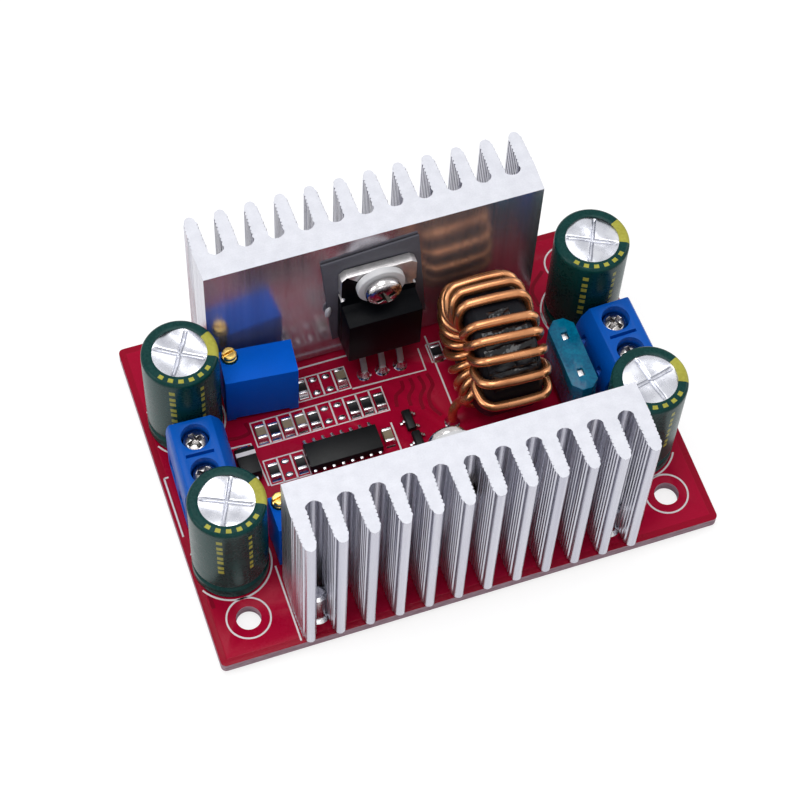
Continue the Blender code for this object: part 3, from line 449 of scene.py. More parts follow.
def aluminium_finish():
    graph = Finish("heatsink_aluminium")
    normal, place = graph.split(graph.add("NewGeometry")["Normal"]), graph.split(graph.position)
    cut_end = graph.between(graph.math("ABSOLUTE", normal[2]), 0.7, 0.9)
    at_face = graph.math("LESS_THAN", graph.math("ABSOLUTE", place[1]), heatsink_face + face_margin)
    facing = graph.between(graph.math("ABSOLUTE", normal[1]), 0.85, 0.95)
    polished = graph.math("MULTIPLY", at_face, facing)
    drawn, broad, sawn = graph.lines(5200, 5200, 40), graph.lines(900, 900, 15), graph.lines(120, 5200, 60)
    mask, fine = graph.speckle(700.0, 5200.0)
    side = graph.blend(broad, (0.50, 0.50, 0.58, 1), (0.64, 0.64, 0.71, 1))
    end = graph.blend(mask, (0.64, 0.65, 0.71, 1), (0.77, 0.78, 0.84, 1))
    back = graph.blend(broad, (0.48, 0.46, 0.51, 1), (0.62, 0.60, 0.65, 1))
    rough = graph.mix(cut_end, graph.spread(drawn, 0.2, 0.34), graph.spread(fine, 0.5, 0.7))
    rough = graph.mix(polished, rough, graph.spread(drawn, 0.15, 0.24))
    metallic = graph.math("MULTIPLY", graph.spread(cut_end, 0.9, 0.35), graph.spread(polished, 1.0, 0.88))
    height = graph.math("MULTIPLY", graph.mix(cut_end, drawn, sawn), graph.spread(polished, 1.0, 0.15))
    colour = graph.blend(polished, graph.blend(cut_end, side, end), back)
    return graph.done(colour, rough, height, drawn_depth, 0.7, metallic)


aluminium = aluminium_finish()

# %% Moulded, turned and painted finishes
silicone = plain_finish("grey_silicone", (0.125, 0.125, 0.150), 0.55, spread=0.1, grain=2500.0, gloss=0.25)
nylon = plain_finish("white_nylon", (0.72, 0.72, 0.74), 0.4, dark_share=0.93)
steel = plain_finish("plated_steel", (0.62, 0.61, 0.62), 0.16, 1.0, 0.8, 0.05, scuff=0.1)
tin = plain_finish("tinned_metal", (0.66, 0.66, 0.68), 0.24, 1.0, 0.8, 0.08)
# Painted shade: this dark metal colours the burr and the screw's end at the foot of the slot, where the hole
# lies in shade.
dark_metal = plain_finish("dark_metal", (0.20, 0.19, 0.18), 0.4, 1.0, 0.5, 0.1, grain_depth=0.00002)
brass = plain_finish("brass", (0.95, 0.66, 0.20), 0.27, 1.0, 0.75, 0.08)
terminal_blue = plain_finish("terminal_blue", (0.0, 0.110, 0.56), 0.38, dark_share=0.85, scuff=0.12,
                             gloss=0.18)
trimmer_blue = plain_finish("trimmer_blue", (0.0, 0.140, 0.80), 0.45, dark_share=0.88, gloss=0.06)
core_black = plain_finish("core_black", (0.004, 0.005, 0.008), 0.42, cloud=600.0, grain_depth=0.00003,
                          gloss=0.12)
glue_black = plain_finish("glue_black", (0.004, 0.004, 0.006), 0.1, cloud=900.0, grain=1400.0,
                          grain_depth=0.00006, gloss=0.35)
silk_white = plain_finish("silk_white", (0.84, 0.80, 0.82), 0.6, dark_share=0.9, cloud=1200.0)
track_red = plain_finish("track_red", (0.26, 0.001, 0.018), 0.32, dark_share=0.85, cloud=200.0, gloss=0.1)
solder = plain_finish("solder", (0.70, 0.70, 0.72), 0.18, 1.0, 0.7, 0.1, cloud=900.0)

# %% Finishes of pieces with two stuffs
bright_end = ((0.85, 0.84, 0.86), 0.22, 1.0)
dull_end = ((0.85, 0.84, 0.86), 0.25, 1.0)
moulded_chip = two_finishes("moulded_chip", ((0.007, 0.008, 0.009), 0.38, 0.0),
                            ((0.60, 0.60, 0.62), 0.25, 1.0))
chip_resistor = two_finishes("chip_resistor", ((0.014, 0.014, 0.016), 0.32, 0.0), bright_end)
chip_ceramic = two_finishes("chip_ceramic", ((0.31, 0.245, 0.165), 0.38, 0.0), dull_end)
power_case = two_finishes("power_transistor", ((0.003, 0.0035, 0.005), 0.34, 0.0),
                          ((0.78, 0.76, 0.76), 0.36, 0.8), 0.05)
# The screws' second colour is painted shade: a dark tone for the faces inside the cross recess.
screw_steel = two_finishes("screw_steel", ((0.64, 0.62, 0.62), 0.16, 1.0), ((0.10, 0.085, 0.075), 0.3, 1.0))
print(len(bpy.data.materials), "materials so far")

# %% [markdown]
# The wire is copper under clear enamel: a coloured metal with a thin glossy coat. The fuse is
# clear tinted plastic, so light passes through it to the metal inside. The sleeves have printed
# marks in a second colour. The cans get a painted shade along the edges of their grooves: a
# darker colour where the groove walls are in shade.

# %% Copper, tinted plastic, sleeve and can
enamel_relief = 0.000002
can_relief = 0.000008


def copper_finish():
    graph = Finish("copper_enamel")
    mask = graph.speckle(260.0, 2600.0, 0.12)[0]
    colour = graph.blend(mask, (0.48, 0.195, 0.08, 1), (0.72, 0.33, 0.15, 1))
    coat = (("Coat Weight", 0.15), ("Coat Roughness", 0.15))
    return graph.done(colour, graph.spread(mask, 0.22, 0.3), mask, enamel_relief, metallic=0.84, others=coat)


def fuse_finish():
    graph = Finish("fuse_teal")
    mask = graph.speckle(400.0, 3000.0)[0]
    colour = graph.blend(mask, (0.0, 0.10, 0.26, 1), (0.0, 0.34, 0.56, 1))
    clear = (("Transmission Weight", 0.4), ("IOR", 1.5))
    rough = graph.spread(mask, 0.12, 0.25)
    return graph.done(colour, rough, mask, fine_grain_depth, gloss=0.04, others=clear)


def sleeve_finish():
    graph = Finish("sleeve_green")
    mask = graph.speckle(350.0, 2600.0)[0]
    base = graph.blend(mask, (0.002, 0.034, 0.032, 1), (0.004, 0.055, 0.050, 1))
    yellow = graph.blend(mask, (0.36, 0.34, 0.05, 1), (0.50, 0.48, 0.08, 1))
    colour = graph.blend(graph.marked(), base, yellow)
    return graph.done(colour, graph.spread(mask, 0.22, 0.34), mask, fine_grain_depth, 0.4, gloss=0.13)


def can_finish():
    graph = Finish("can_aluminium")
    mask = graph.speckle(500.0, 5000.0, 0.2)[0]
    colour = graph.blend(mask, (0.50, 0.51, 0.57, 1), (0.70, 0.71, 0.76, 1))
    # Painted shade: the marked faces along the groove edges get a darker colour in place of the shade on the
    # groove walls.
    colour = graph.blend(graph.marked(), colour, (0.30, 0.31, 0.36, 1))
    return graph.done(colour, graph.spread(mask, 0.2, 0.34), mask, can_relief, metallic=0.9)


copper, fuse_plastic = copper_finish(), fuse_finish()
sleeve_green, can_aluminium = sleeve_finish(), can_finish()

# %% [markdown]
# ## The board
# The bare board is a glass fibre sheet with a red mask over its copper. The mask looks lighter
# where copper lies under it and darker over bare fibre, so the material darkens a margin along
# the board's edges. The cut edges show the fibre itself: a pale pink in fine layers.

# %% Board finish
copper_margin = 0.0009
margin_blur = 0.00006
mask_depth = 0.00003


def board_finish():
    graph = Finish("board_red")
    place, normal = graph.split(graph.position), graph.split(graph.add("NewGeometry")["Normal"])
    mask, fine = graph.speckle(90.0, 2500.0, 0.2)
    from_x, from_y = [graph.math("SUBTRACT", half, graph.math("ABSOLUTE", along))
                      for half, along in zip(board_half, place)]
    inside = graph.math("MINIMUM", from_x, from_y)
    over_copper = graph.between(inside, copper_margin - margin_blur, copper_margin + margin_blur)
    on_copper = graph.blend(mask, (0.38, 0.002, 0.026, 1), (0.46, 0.004, 0.038, 1))
    on_fibre = graph.blend(mask, (0.31, 0.002, 0.019, 1), (0.36, 0.003, 0.027, 1))
    edge = graph.blend(graph.lines(900, 900, 7000), (0.36, 0.20, 0.25, 1), (0.62, 0.44, 0.52, 1))
    flat = graph.between(graph.math("ABSOLUTE", normal[2]), 0.5, 0.8)
    colour = graph.blend(flat, edge, graph.blend(over_copper, on_fibre, on_copper))
    rough = graph.mix(flat, 0.6, graph.spread(mask, 0.22, 0.34))
    step = graph.math("MULTIPLY", over_copper, flat)
    height = graph.math("ADD", step, graph.math("MULTIPLY", fine, 0.08))
    return graph.done(colour, rough, height, mask_depth, 0.7, gloss=0.09)


# %% Board with its holes
mount_hole_radius = 0.0016
mount_hole_inset = Vector((0.0051, 0.0054))
board_corner = 0.0007
board_edge = 0.00006
cut_overrun = 0.001
joint_clearance = 0.0002
round_sides = 64
mount_places = [(side_x * (board_half.x - mount_hole_inset.x), side_y * (board_half.y - mount_hole_inset.y))
                for side_x in (-1, 1) for side_y in (-1, 1)]


def board_outline():
    points = []
    for quarter, (side_x, side_y) in enumerate(((1, 1), (-1, 1), (-1, -1), (1, -1))):
        centre = (side_x * (board_half.x - board_corner), side_y * (board_half.y - board_corner))
        points += arc(centre, board_corner, 90 * quarter, 90 * quarter + 90, 6)
    return points


def all_holes(mesh):
    low, high = board_low - cut_overrun, board_top + cut_overrun
    for place in mount_places:
        rod(mesh, place, mount_hole_radius, low, high, round_sides)
    for found in tips.values():
        for middle, half in found:
            rod(mesh, middle.xy, half + joint_clearance, low, high, 12)


sheet = to_object("board_sheet", shape(prism, board_outline(), board_low, board_top))
combine(sheet, "DIFFERENCE", shape(all_holes))
present(bevelled(sheet, board_edge), board_finish(), "board_red", "board")
print("board with", len(sheet.data.polygons), "faces")

# %% [markdown]
# ## White print and copper tracks
# The white print on a board is ink some hundredths of a millimetre thick. Each line is a path,
# and a Geometry Nodes tree sweeps a flat section along every path at once. Copper tracks under
# the mask are made by the same tree with other sizes. The tree has named inputs for its sizes
# and ends in plain, realized mesh.

# %% Trees that sweep a section and that repeat a piece
def end_tree(tree, result, geometry, material):
    """Every tree ends alike: real geometry with its material on it."""
    real = new_node(tree, "GeometryNodeRealizeInstances", ((0, geometry),))
    pairs = (("Geometry", real.outputs[0]), ("Material", material))
    fill(tree, result, ((0, new_node(tree, "GeometryNodeSetMaterial", pairs).outputs[0]),))
    return tree


def make_sweep_tree(name, section, sizes):
    """Sweep a section along every path. Sizes are the section's own inputs, with their types."""
    inputs = (("Paths", "Geometry"), *sizes, ("Material", "Material"))
    tree, given, result = start_tree(name, "GeometryNodeTree", inputs, (("Geometry", "Geometry"),))
    pairs = [(size[0], given[size[0]]) for size in sizes]
    profile = new_node(tree, "GeometryNodeCurvePrimitive" + section, pairs)
    swept = new_node(tree, "GeometryNodeCurveToMesh",
                     ((0, given["Paths"]), (1, profile.outputs[0]), ("Fill Caps", True)))
    return end_tree(tree, result, swept.outputs[0], given["Material"])


def make_repeat_tree():
    """Copies of one piece on points, each with its own size and turn."""
    inputs = (("Points", "Geometry"), ("Piece", "Object"), ("Material", "Material"))
    tree, given, result = start_tree("repeated_piece", "GeometryNodeTree", inputs,
                                     (("Geometry", "Geometry"),))
    piece = new_node(tree, "GeometryNodeObjectInfo", (("Object", given["Piece"]),))
    size, turn = [new_node(tree, "GeometryNodeInputNamedAttribute", (("Name", name),),
                           data_type="FLOAT_VECTOR") for name in ("size", "turn")]
    copies = new_node(tree, "GeometryNodeInstanceOnPoints",
                      (("Points", given["Points"]), ("Instance", piece.outputs["Geometry"]),
                       ("Rotation", turn.outputs[0]), ("Scale", size.outputs[0])))
    return end_tree(tree, result, copies.outputs[0], given["Material"])


line_tree = make_sweep_tree("flat_lines", "Quadrilateral", (("Width", "Float"), ("Height", "Float")))
wire_tree = make_sweep_tree("round_wire", "Circle", (("Radius", "Float"), ("Resolution", "Int")))
repeat_tree = make_repeat_tree()
print("trees:", line_tree.name, wire_tree.name, repeat_tree.name)


# %% Running the trees
def grown(item, tree, **values):
    """Run a tree on an object and keep the result as a plain mesh object of the same name."""
    modifier = item.modifiers.new("tree", "NODES")
    modifier.node_group = tree
    for socket in tree.interface.items_tree:
        if socket.name in values:
            modifier[socket.identifier] = values[socket.name]
    data = worked_out(item)
    name = item.name
    bpy.data.objects.remove(item, do_unlink=True)
    return linked(name, data)


def paths_object(name, paths):
    """A curve object of straight-sided splines. A path is (points, closed)."""
    curve = bpy.data.curves.new(name, "CURVE")
    curve.dimensions = "3D"
    for points, closed in paths:
        spline = curve.splines.new("POLY")
        spline.points.add(len(points) - 1)
        for target, point in zip(spline.points, points):
            target.co = (*point, 1)
        spline.use_cyclic_u = closed
    return linked(name, curve)


def smoothed(points, steps):
    """Points on a curve through all the given ones, with even speed at each."""
    dense = []
    for index in range(len(points) - 1):
        before, after = points[max(index - 1, 0)], points[min(index + 2, len(points) - 1)]
        start, stop = points[index], points[index + 1]
        length = (stop - start).length
        into = (stop - before).normalized() * length
        out = (after - start).normalized() * length
        for step in range(steps):
            share = step / steps
            square, cube = share ** 2, share ** 3
            dense.append(start * (2 * cube - 3 * square + 1) + into * (cube - 2 * square + share)
                         + stop * (3 * square - 2 * cube) + out * (cube - square))
    return dense + [points[-1]]


def repeated(name, maker, places, slot):
    """Copies of a unit piece of solder at (place, size, turn about Z)."""
    piece = to_object(name + "_piece", shape(maker))
    points = bpy.data.meshes.new(name)
    points.from_pydata([tuple(place) for place, size, turn in places], [], [])
    sizes = points.attributes.new("size", "FLOAT_VECTOR", "POINT")
    turns = points.attributes.new("turn", "FLOAT_VECTOR", "POINT")
    for index, (place, size, turn) in enumerate(places):
        sizes.data[index].vector = size
        turns.data[index].vector = (0, 0, turn)
    item = grown(linked(name, points), repeat_tree, Piece=piece, Material=solder)
    for attribute in ("size", "turn"):
        if attribute in item.data.attributes:
            item.data.attributes.remove(item.data.attributes[attribute])
    mesh = bmesh.new()
    mesh.from_mesh(item.data)
    bmesh.ops.recalc_face_normals(mesh, faces=mesh.faces)
    mesh.to_mesh(item.data)
    mesh.free()
    bpy.data.objects.remove(piece, do_unlink=True)
    return present(item, solder, slot)


# %% White print
ink_width = 0.00023
ink_thickness = 0.00004
print_level = board_top + ink_thickness / 2
capacitor_turns = {"rear_left": 60, "rear_right": 64, "front_left": 65, "front_right": 12}
cell_pitch = 0.001818
cell_rows = {"middle": (-0.02006, 0.00425, 10, 0.0037), "rear": (-0.01293, 0.0090, 4, 0.0034),
             "front": (-0.02008, -0.00164, 3, 0.0037)}
silk_lines = (
    ((-0.00557, 0.00879), (0.00468, 0.00856), (0.00475, 0.01205)),
    ((0.00625, 0.01357), (0.00625, 0.00244)),
    ((-0.0128, 0.0139), (-0.00423, 0.0139)),
    ((-0.0235, 0.00516), (-0.02083, 0.00504), (-0.0204, -0.0016)),
    ((-0.0330, 0.0036), (-0.0324, 0.0036)),
    ((-0.0330, 0.0036), (-0.0330, -0.0052)),
    ((-0.00235, 0.0024), (-0.00235, -0.0030)),
    ((0.0225, 0.0122), (0.0225, 0.0103)),
    ((0.0231, 0.0122), (0.0231, 0.0103)),
    ((-0.02305, -0.01275), (-0.02305, -0.0236)),
    ((0.0059, 0.0122), (0.0078, 0.0122), (0.0078, 0.0094), (0.0059, 0.0094), (0.0059, 0.0122)),
)
hole_ring_radius = 0.0028
capacitor_ring_gap = 0.0003
open_ring_degrees = 150


def flat_path(points, closed=False):
    return [(x, y, print_level) for x, y in points], closed


def cell_paths():
    """Each row of small parts has a frame, with a line between neighbours."""
    paths = []
    for left, low, count, height in cell_rows.values():
        right = left + count * cell_pitch
        corners = [(left, low), (right, low), (right, low + height), (left, low + height)]
        paths.append(flat_path(corners, True))
        for cell in range(1, count):
            x = left + cell * cell_pitch
            paths.append(flat_path([(x, low), (x, low + height)]))
    return paths


def print_paths():
    paths = cell_paths() + [flat_path(points) for points in silk_lines]
    paths += [flat_path(arc(place, hole_ring_radius, 0, 360, 72)[:-1], True) for place in mount_places]
    for name in capacitor_turns:
        low, high, middle = boxed("capacitor_sleeve_" + name)
        inward = 180 if "right" in name else 0
        ring = arc(middle, (high.x - low.x) / 2 + capacitor_ring_gap, inward - open_ring_degrees,
                   inward + open_ring_degrees, 60)
        paths.append(flat_path(ring))
    return paths


silk = grown(paths_object("board_print", print_paths()), line_tree, Width=ink_width, Height=ink_thickness,
             Material=silk_white)
present(silk, silk_white, "white_nylon")
print("white print:", len(silk.data.polygons), "faces")

# %% Copper tracks under the mask
track_thickness = 0.00003
track_width = 0.0005
track_sink = 0.000005
track_level = board_top + track_thickness / 2 - track_sink
track_runs = (
    ((0.0046, 0.0080), (0.0048, 0.0062), (0.0038, 0.0048), (0.0036, 0.0030), (0.0044, 0.0014)),
    ((0.0034, 0.0080), (0.0036, 0.0062), (0.0026, 0.0048), (0.0024, 0.0030)),
    ((0.0022, 0.0080), (0.0022, 0.0066), (0.0012, 0.0054), (0.0010, 0.0040)),
    ((0.0010, 0.0080), (0.0008, 0.0068), (-0.0004, 0.0060), (-0.0008, 0.0044)),
    ((-0.0246, 0.0066), (-0.0206, 0.0066), (-0.0206, 0.0082)),
    ((-0.0300, -0.0052), (-0.0250, -0.0052)),
    ((0.0226, 0.0132), (0.0226, 0.0160), (0.0250, 0.0184)),
    ((0.0240, -0.0176), (0.0240, -0.0210), (0.0200, -0.0228)),
    ((-0.0322, -0.0160), (-0.0322, -0.0060)),
)
track_paths = [(smoothed([Vector((x, y, track_level)) for x, y in run], 6), False) for run in track_runs]
tracks = grown(paths_object("board_tracks", track_paths), line_tree, Width=track_width,
               Height=track_thickness, Material=track_red)
present(tracks, track_red, "board_red")
print("tracks:", len(track_runs))

# %% [markdown]
# ## Solder
# Under the board each lead ends in a bright cone of solder, and the same cone, higher, shows on
# top where a part is fed from above. The cone's profile is a curve that hugs the lead, turned
# about it. A tree places a copy at each lead tip that the frame gave.

# %% Solder joints
joint_height = 0.0007
joint_share = 1.9
top_joint_height = 0.0012
top_joint_share = 2.1
top_side_nodes = ("transistor_rear", "transistor_front", "inductor_winding")


def joint_shape(mesh):
    """A unit cone of solder: base radius 1, height 1, with a hollow flank."""
    flank = [(1 - 0.55 * (step / 6) ** 0.6, step / 6) for step in range(7)]
    lathe(mesh, [(0, 0)] + flank + [(0, 1)], 20)


under_places, top_places = [], []
for name, found in tips.items():
    for middle, half in found:
        radius, wide = half * joint_share, half * top_joint_share
        under_places.append(((middle.x, middle.y, board_low), (radius, radius, -joint_height), 0))
        if name in top_side_nodes:
            top_places.append(((middle.x, middle.y, board_top), (wide, wide, top_joint_height), 0))
repeated("solder_under", joint_shape, under_places, "tin")
repeated("solder_top", joint_shape, top_places, "tin")
print(len(under_places), "joints under the board")

# %% [markdown]
# ## Heatsinks
# An extruded heatsink is one outline pushed along its length: a flat base with tapered fins,
# whose flanks carry narrow grooves that give more surface to the air. The outline is built by
# a loop over the fins. The saw that cut the bar to length left small burrs, so the points of
# the end rings are moved a few hundredths of a millimetre by a seeded random draw.

# %% The fin outline
fin_count = 12
fin_root = 0.0017
fin_tip = 0.0014
fin_ridges = 8
ridge_height = 0.00016
groove_share = 0.45
sink_base = 0.0032


def fin_flank(centre, side, slot_radius, depth):
    root = Vector((centre + side * fin_root / 2, sink_base + slot_radius))
    tip = Vector((centre + side * fin_tip / 2, depth - fin_tip / 2))
    points = []
    for ridge in range(fin_ridges):
        for share, raised in ((0, 1), (1 - groove_share, 1), (1 - groove_share / 2, 0)):
            place = root.lerp(tip, (ridge + share) / fin_ridges)
            place.x += side * ridge_height * raised
            points.append(tuple(place))
    return points


def comb_outline(length, depth):
    pitch = (length - fin_root) / (fin_count - 1)
    slot_radius = (pitch - fin_root) / 2
    points = [(-length / 2, 0), (length / 2, 0)]
    for fin in range(fin_count):
        centre = length / 2 - fin_root / 2 - fin * pitch
        points += fin_flank(centre, 1, slot_radius, depth)
        points += arc((centre, depth - fin_tip / 2), fin_tip / 2, 0, 180, 8)
        points += fin_flank(centre, -1, slot_radius, depth)[::-1]
        if fin < fin_count - 1:
            points += arc((centre - pitch / 2, sink_base + slot_radius), slot_radius, 0, -180, 10)[1:-1]
    return points


# %% The two heatsinks
burr = 0.00005
burr_depth = 0.00022
chamfer_depth = 0.00006
sink_gap = 0.0003


def heatsink(name, forward, seed):
    """forward is 1 where the fins point to +Y and -1 where they point to -Y."""
    low, high, middle = boxed(name)
    face = low.y if forward > 0 else high.y
    depth = high.y - low.y
    outline = comb_outline(high.x - low.x - 2 * ridge_height, depth)
    draw = random.Random(seed)
    mesh = bmesh.new()
    foot = board_top + sink_gap
    rings = []
    for level, share in ((foot, 0.6), (foot + burr_depth, 0.0), (high.z - burr_depth, 0.0),
                         (high.z - chamfer_depth, 1.0), (high.z, 0.7)):
        ring = []
        for x, y in outline:
            shift_x, shift_y = [burr * share * draw.uniform(-1, 1) for axis in range(2)]
            away = min(max(y + shift_y, 0), depth) if y else 0
            ring.append(mesh.verts.new((middle.x + forward * (x + shift_x), face + forward * away, level)))
        rings.append(ring)
    skin(mesh, rings)
    caps = [mesh.faces.new(ring) for ring in (rings[0], rings[-1])]
    mesh.normal_update()
    bmesh.ops.triangulate(mesh, faces=caps, ngon_method="EAR_CLIP")
    return present(to_object(name + "_fins", mesh), aluminium, "heatsink_aluminium", name)


for sink, forward, seed in (("heatsink_rear", 1, 3), ("heatsink_front", -1, 4)):
    item = heatsink(sink, forward, seed)
    print(item.name, len(item.data.polygons), "faces")

# %% Solder pins in the outer slots
pin_radius = 0.00121
pin_height = 0.0058
pin_foot_radius = 0.0018
pin_foot_height = 0.0008


def solder_pins(mesh, name):
    top = board_top + pin_height
    spread = pin_foot_radius - pin_radius
    foot = [(pin_radius + spread * (1 - share) ** 2, board_top + pin_foot_height * share)
            for share in (0, 0.25, 0.5, 0.75, 1)]
    for middle, half in tips[name]:
        profile = [(0, tip_level), (half, tip_level), (half, board_top)] + foot
        profile += [(pin_radius, top - pin_radius / 3), (pin_radius * 2 / 3, top), (0, top)]
        lathe(mesh, profile, 32, "Z", middle.xy)


for sink in ("heatsink_rear", "heatsink_front"):
    present(to_object(sink + "_pins", shape(solder_pins, sink)), solder, "tin", sink)

# %% [markdown]
# ## Power transistors and how they are clamped
# Each power transistor has a black case, a metal tab and three leads. Its solid is already
# right, so a merged copy gets rounded edges, and each face is marked as case or metal by its
# height. A grey pad insulates the tab, and a white shouldered bush keeps the screw off it.

# %% Transistors and pads
case_foot = 0.0053
case_length = 0.0091
case_margin = 0.00002
case_low = board_top + case_foot - case_margin
case_high = board_top + case_foot + case_length + case_margin
lead_share = 0.55
case_edge = 0.0001
pad_edge = 0.00004


def metal_share(middle):
    """The leads and the tab are metal, and the case between them isn't."""
    if middle.z < case_low:
        return lead_share
    return middle.z > case_high


for place in ("rear", "front"):
    dressed("transistor_" + place, power_case, "black_moulding", case_edge, metal_share)
    dressed("insulating_pad_" + place, silicone, "grey_silicone", pad_edge)

# %% A smear of grease on the rear pad
smear_half = Vector((0.00036, 0.0013))
smear_rise = 0.00035
smear_place = (0.00095, 0.0142)
smear_section = ((1.0, -0.1), (1.0, 0.2), (0.8, 0.7), (0.45, 0.95), (0.0, 1.0))


def grease_smear(mesh):
    """A low dome on the pad's face, beside the case, with an uneven rim."""
    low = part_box("insulating_pad_rear")[0]
    rings = []
    for share, rise in smear_section:
        ring = []
        for step in range(24 if share else 1):
            angle = math.tau * step / 24
            x, z = polar(share * (1 + 0.25 * math.sin(2 * angle + 1) * share), angle)
            ring.append(mesh.verts.new((low.x + smear_place[0] + smear_half.x * x,
                                        low.y - smear_rise * rise, smear_place[1] + smear_half.y * z)))
        rings.append(ring)
    skin(mesh, rings)
    mesh.faces.new(rings[0])


present(to_object("grease_smear", shape(grease_smear)), nylon, "grey_silicone")

# %% Bushes and clamping screws
bush_round = 0.0002
bush_flange = 0.0009
bush_sleeve_radius = 0.00165
bush_clearance = 0.00015
screw_head_radius = 0.0024
screw_head_height = 0.0016
screw_shaft_radius = 0.00125
screw_edge = 0.00004
screw_sides = 48
thread_pitch = 0.0005
thread_depth = 0.00018
cross_width = 0.00072
cross_reach = 0.0014
cross_depth = 0.0011
cross_sink = 0.0002
recess_margin = 0.00006


def shouldered_bush(mesh, name, forward):
    """The flange, with a rolled edge, and its sleeve into the tab."""
    low, high, middle = boxed(name)
    radius = (high.x - low.x) / 2
    front, back = (low.y, high.y) if forward > 0 else (high.y, low.y)
    step = front + forward * bush_flange
    bore = screw_shaft_radius + bush_clearance
    edge = [(radius - bush_round + x, front + forward * (bush_round - z))
            for x, z in arc((0, 0), bush_round, 90, 0, 5)]
    neck = [(radius, step), (bush_sleeve_radius, step), (bush_sleeve_radius, back), (bore, back)]
    lathe(mesh, [(bore, front)] + edge + neck, round_sides, "Y", (middle.x, middle.z), True)


def tapered_cross(mesh, transform, turn):
    """A cross recess that narrows with its depth. Its mouth is at level 0 and it runs to -Z."""
    near = cross_width / 2
    spin = Matrix.Rotation(turn, 4, "Z")
    rings = []
    for level, share in ((cross_depth, 1.3), (0, 1.0), (-cross_depth, 0.45)):
        reach = cross_reach * share
        outline = [(reach, -near), (reach, near), (near, near), (near, reach), (-near, reach),
                   (-near, near), (-reach, near), (-reach, -near), (-near, -near), (-near, -reach),
                   (near, -reach), (near, -near)]
        rings.append([mesh.verts.new(transform @ (spin @ Vector((x, y, level)))) for x, y in outline])
    skin(mesh, rings)
    mesh.faces.new(rings[0])
    mesh.faces.new(rings[-1])


def crossed_screw(name, mesh, mouth, turn, painted_recess_shade, body="root"):
    """Cut a cross recess into a screw's head and paint shade into it: the recess's faces get a dark colour.
    """
    item = to_object(name + "_dressed", mesh)
    combine(item, "DIFFERENCE", shape(tapered_cross, mouth, turn))
    inverse = mouth.inverted()

    # Painted shade: faces deep inside the recess get the dark colour, at the given share.
    def recess_shade_share(middle):
        local = inverse @ middle
        return painted_recess_shade * (local.z < -recess_margin and math.hypot(local.x, local.y) < cross_reach)

    mark_faces(item, recess_shade_share)
    bevelled(item, screw_edge, 2, screw_bevel_angle)
    return present(item, screw_steel, "plated_steel", name, body=body)


def pan_screw(name, forward, turn):
    """A pan head with a cross recess, and rings for the thread that shows in the slot."""
    low, high, middle = boxed(name)
    length = high.y - low.y
    neck = length - screw_head_height
    dome = [polar(1, math.radians(angle)) for angle in range(0, 86, 12)]
    profile = [(screw_head_radius * y, length - screw_head_height * 0.55 * (1 - x)) for x, y in dome]
    profile += [(screw_head_radius, length - screw_head_height * 0.75), (screw_head_radius, neck),
                (screw_shaft_radius, neck)]
    for ring in range(int(neck / thread_pitch)):
        level = neck - ring * thread_pitch
        profile += [(screw_shaft_radius, level - thread_pitch / 4),
                    (screw_shaft_radius - thread_depth, level - thread_pitch * 3 / 4)]
    profile += [(screw_shaft_radius * 2 / 3, 0), (0, 0)]
    head_y = low.y if forward > 0 else high.y
    upright = Matrix.Translation((middle.x, head_y + forward * length, middle.z))
    upright = upright @ Matrix.Rotation(forward * math.pi / 2, 4, "X")
    mesh = shape(lathe, profile, screw_sides)
    mesh.transform(upright)
    mouth = upright @ Matrix.Translation((0, 0, length - cross_sink))
    # The pan heads get the full painted shade in their recess.
    return crossed_screw(name, mesh, mouth, turn, 1.0)


for place, forward, turn in (("rear", 1, 0.5), ("front", -1, 0.2)):
    bush = to_object("bushing_" + place + "_dressed", shape(shouldered_bush, "bushing_" + place, forward))
    present(bush, nylon, "white_nylon", "bushing_" + place)
    screw = pan_screw("clamp_screw_" + place, forward, turn)
    print(screw.name, len(screw.data.polygons), "faces")

# %% Where the screws break through between the fins
collar_section = ((0, -0.0002), (0.00144, -0.0002), (0.0016, 0.00005), (0.00136, 0.00035),
                  (0.0011875, 0.0002), (0.001, 0.0005), (0, 0.0005))


def screw_burr(mesh, name, forward):
    """A torn collar of aluminium round the screw's end at the foot of the middle slot; its dark colour is
    painted shade.
    """
    middle = boxed(name)[2]
    face = forward * (heatsink_face + sink_base)
    draw = random.Random(5)
    rings = []
    for radius, level in collar_section:
        ring = []
        for x, z in circle(radius, 28):
            wander = 1 + draw.uniform(-0.12, 0.12)
            torn = (middle.x + x * wander, face + forward * level, middle.z + z * wander)
            ring.append(mesh.verts.new(torn))
        rings.append(ring)
    skin(mesh, rings)


# The collars are real burrs, and their dark colour paints the shade of the hole behind them.
for place, forward in (("rear", 1), ("front", -1)):
    collar = to_object("screw_burr_" + place, shape(screw_burr, "clamp_screw_" + place, forward))
    present(collar, dark_metal, "plated_steel")

# %% [markdown]
# ## Can capacitors
# An aluminium can is pulled into a printed plastic sleeve. The sleeve shrinks over the can's
# round shoulder and ends in a ring on its top, so a bright disc stays open in the middle. Two
# pressed grooves cross on the disc: they are where the can may vent. The disc is a fine polar
# mesh, whose height follows a rule: low along the two grooves, softly crumpled between them.

# %% Sleeve
sleeve_wall = 0.00025
sleeve_round = 0.0006
sleeve_lip = 0.00006
disc_radius = 0.0035
waist_level = 0.0022
waist_depth = 0.0004
waist_half = 0.0007
sleeve_sides = 120
side_rings = 36


def waist(radius, low):
    """The waist near the foot, where the can is rolled onto its rubber plug."""
    steps = [step / 8 - 1 for step in range(17)]
    return [(radius - waist_depth * (1 + math.cos(math.pi * step)) / 2, low + waist_level + step * waist_half)
            for step in steps]


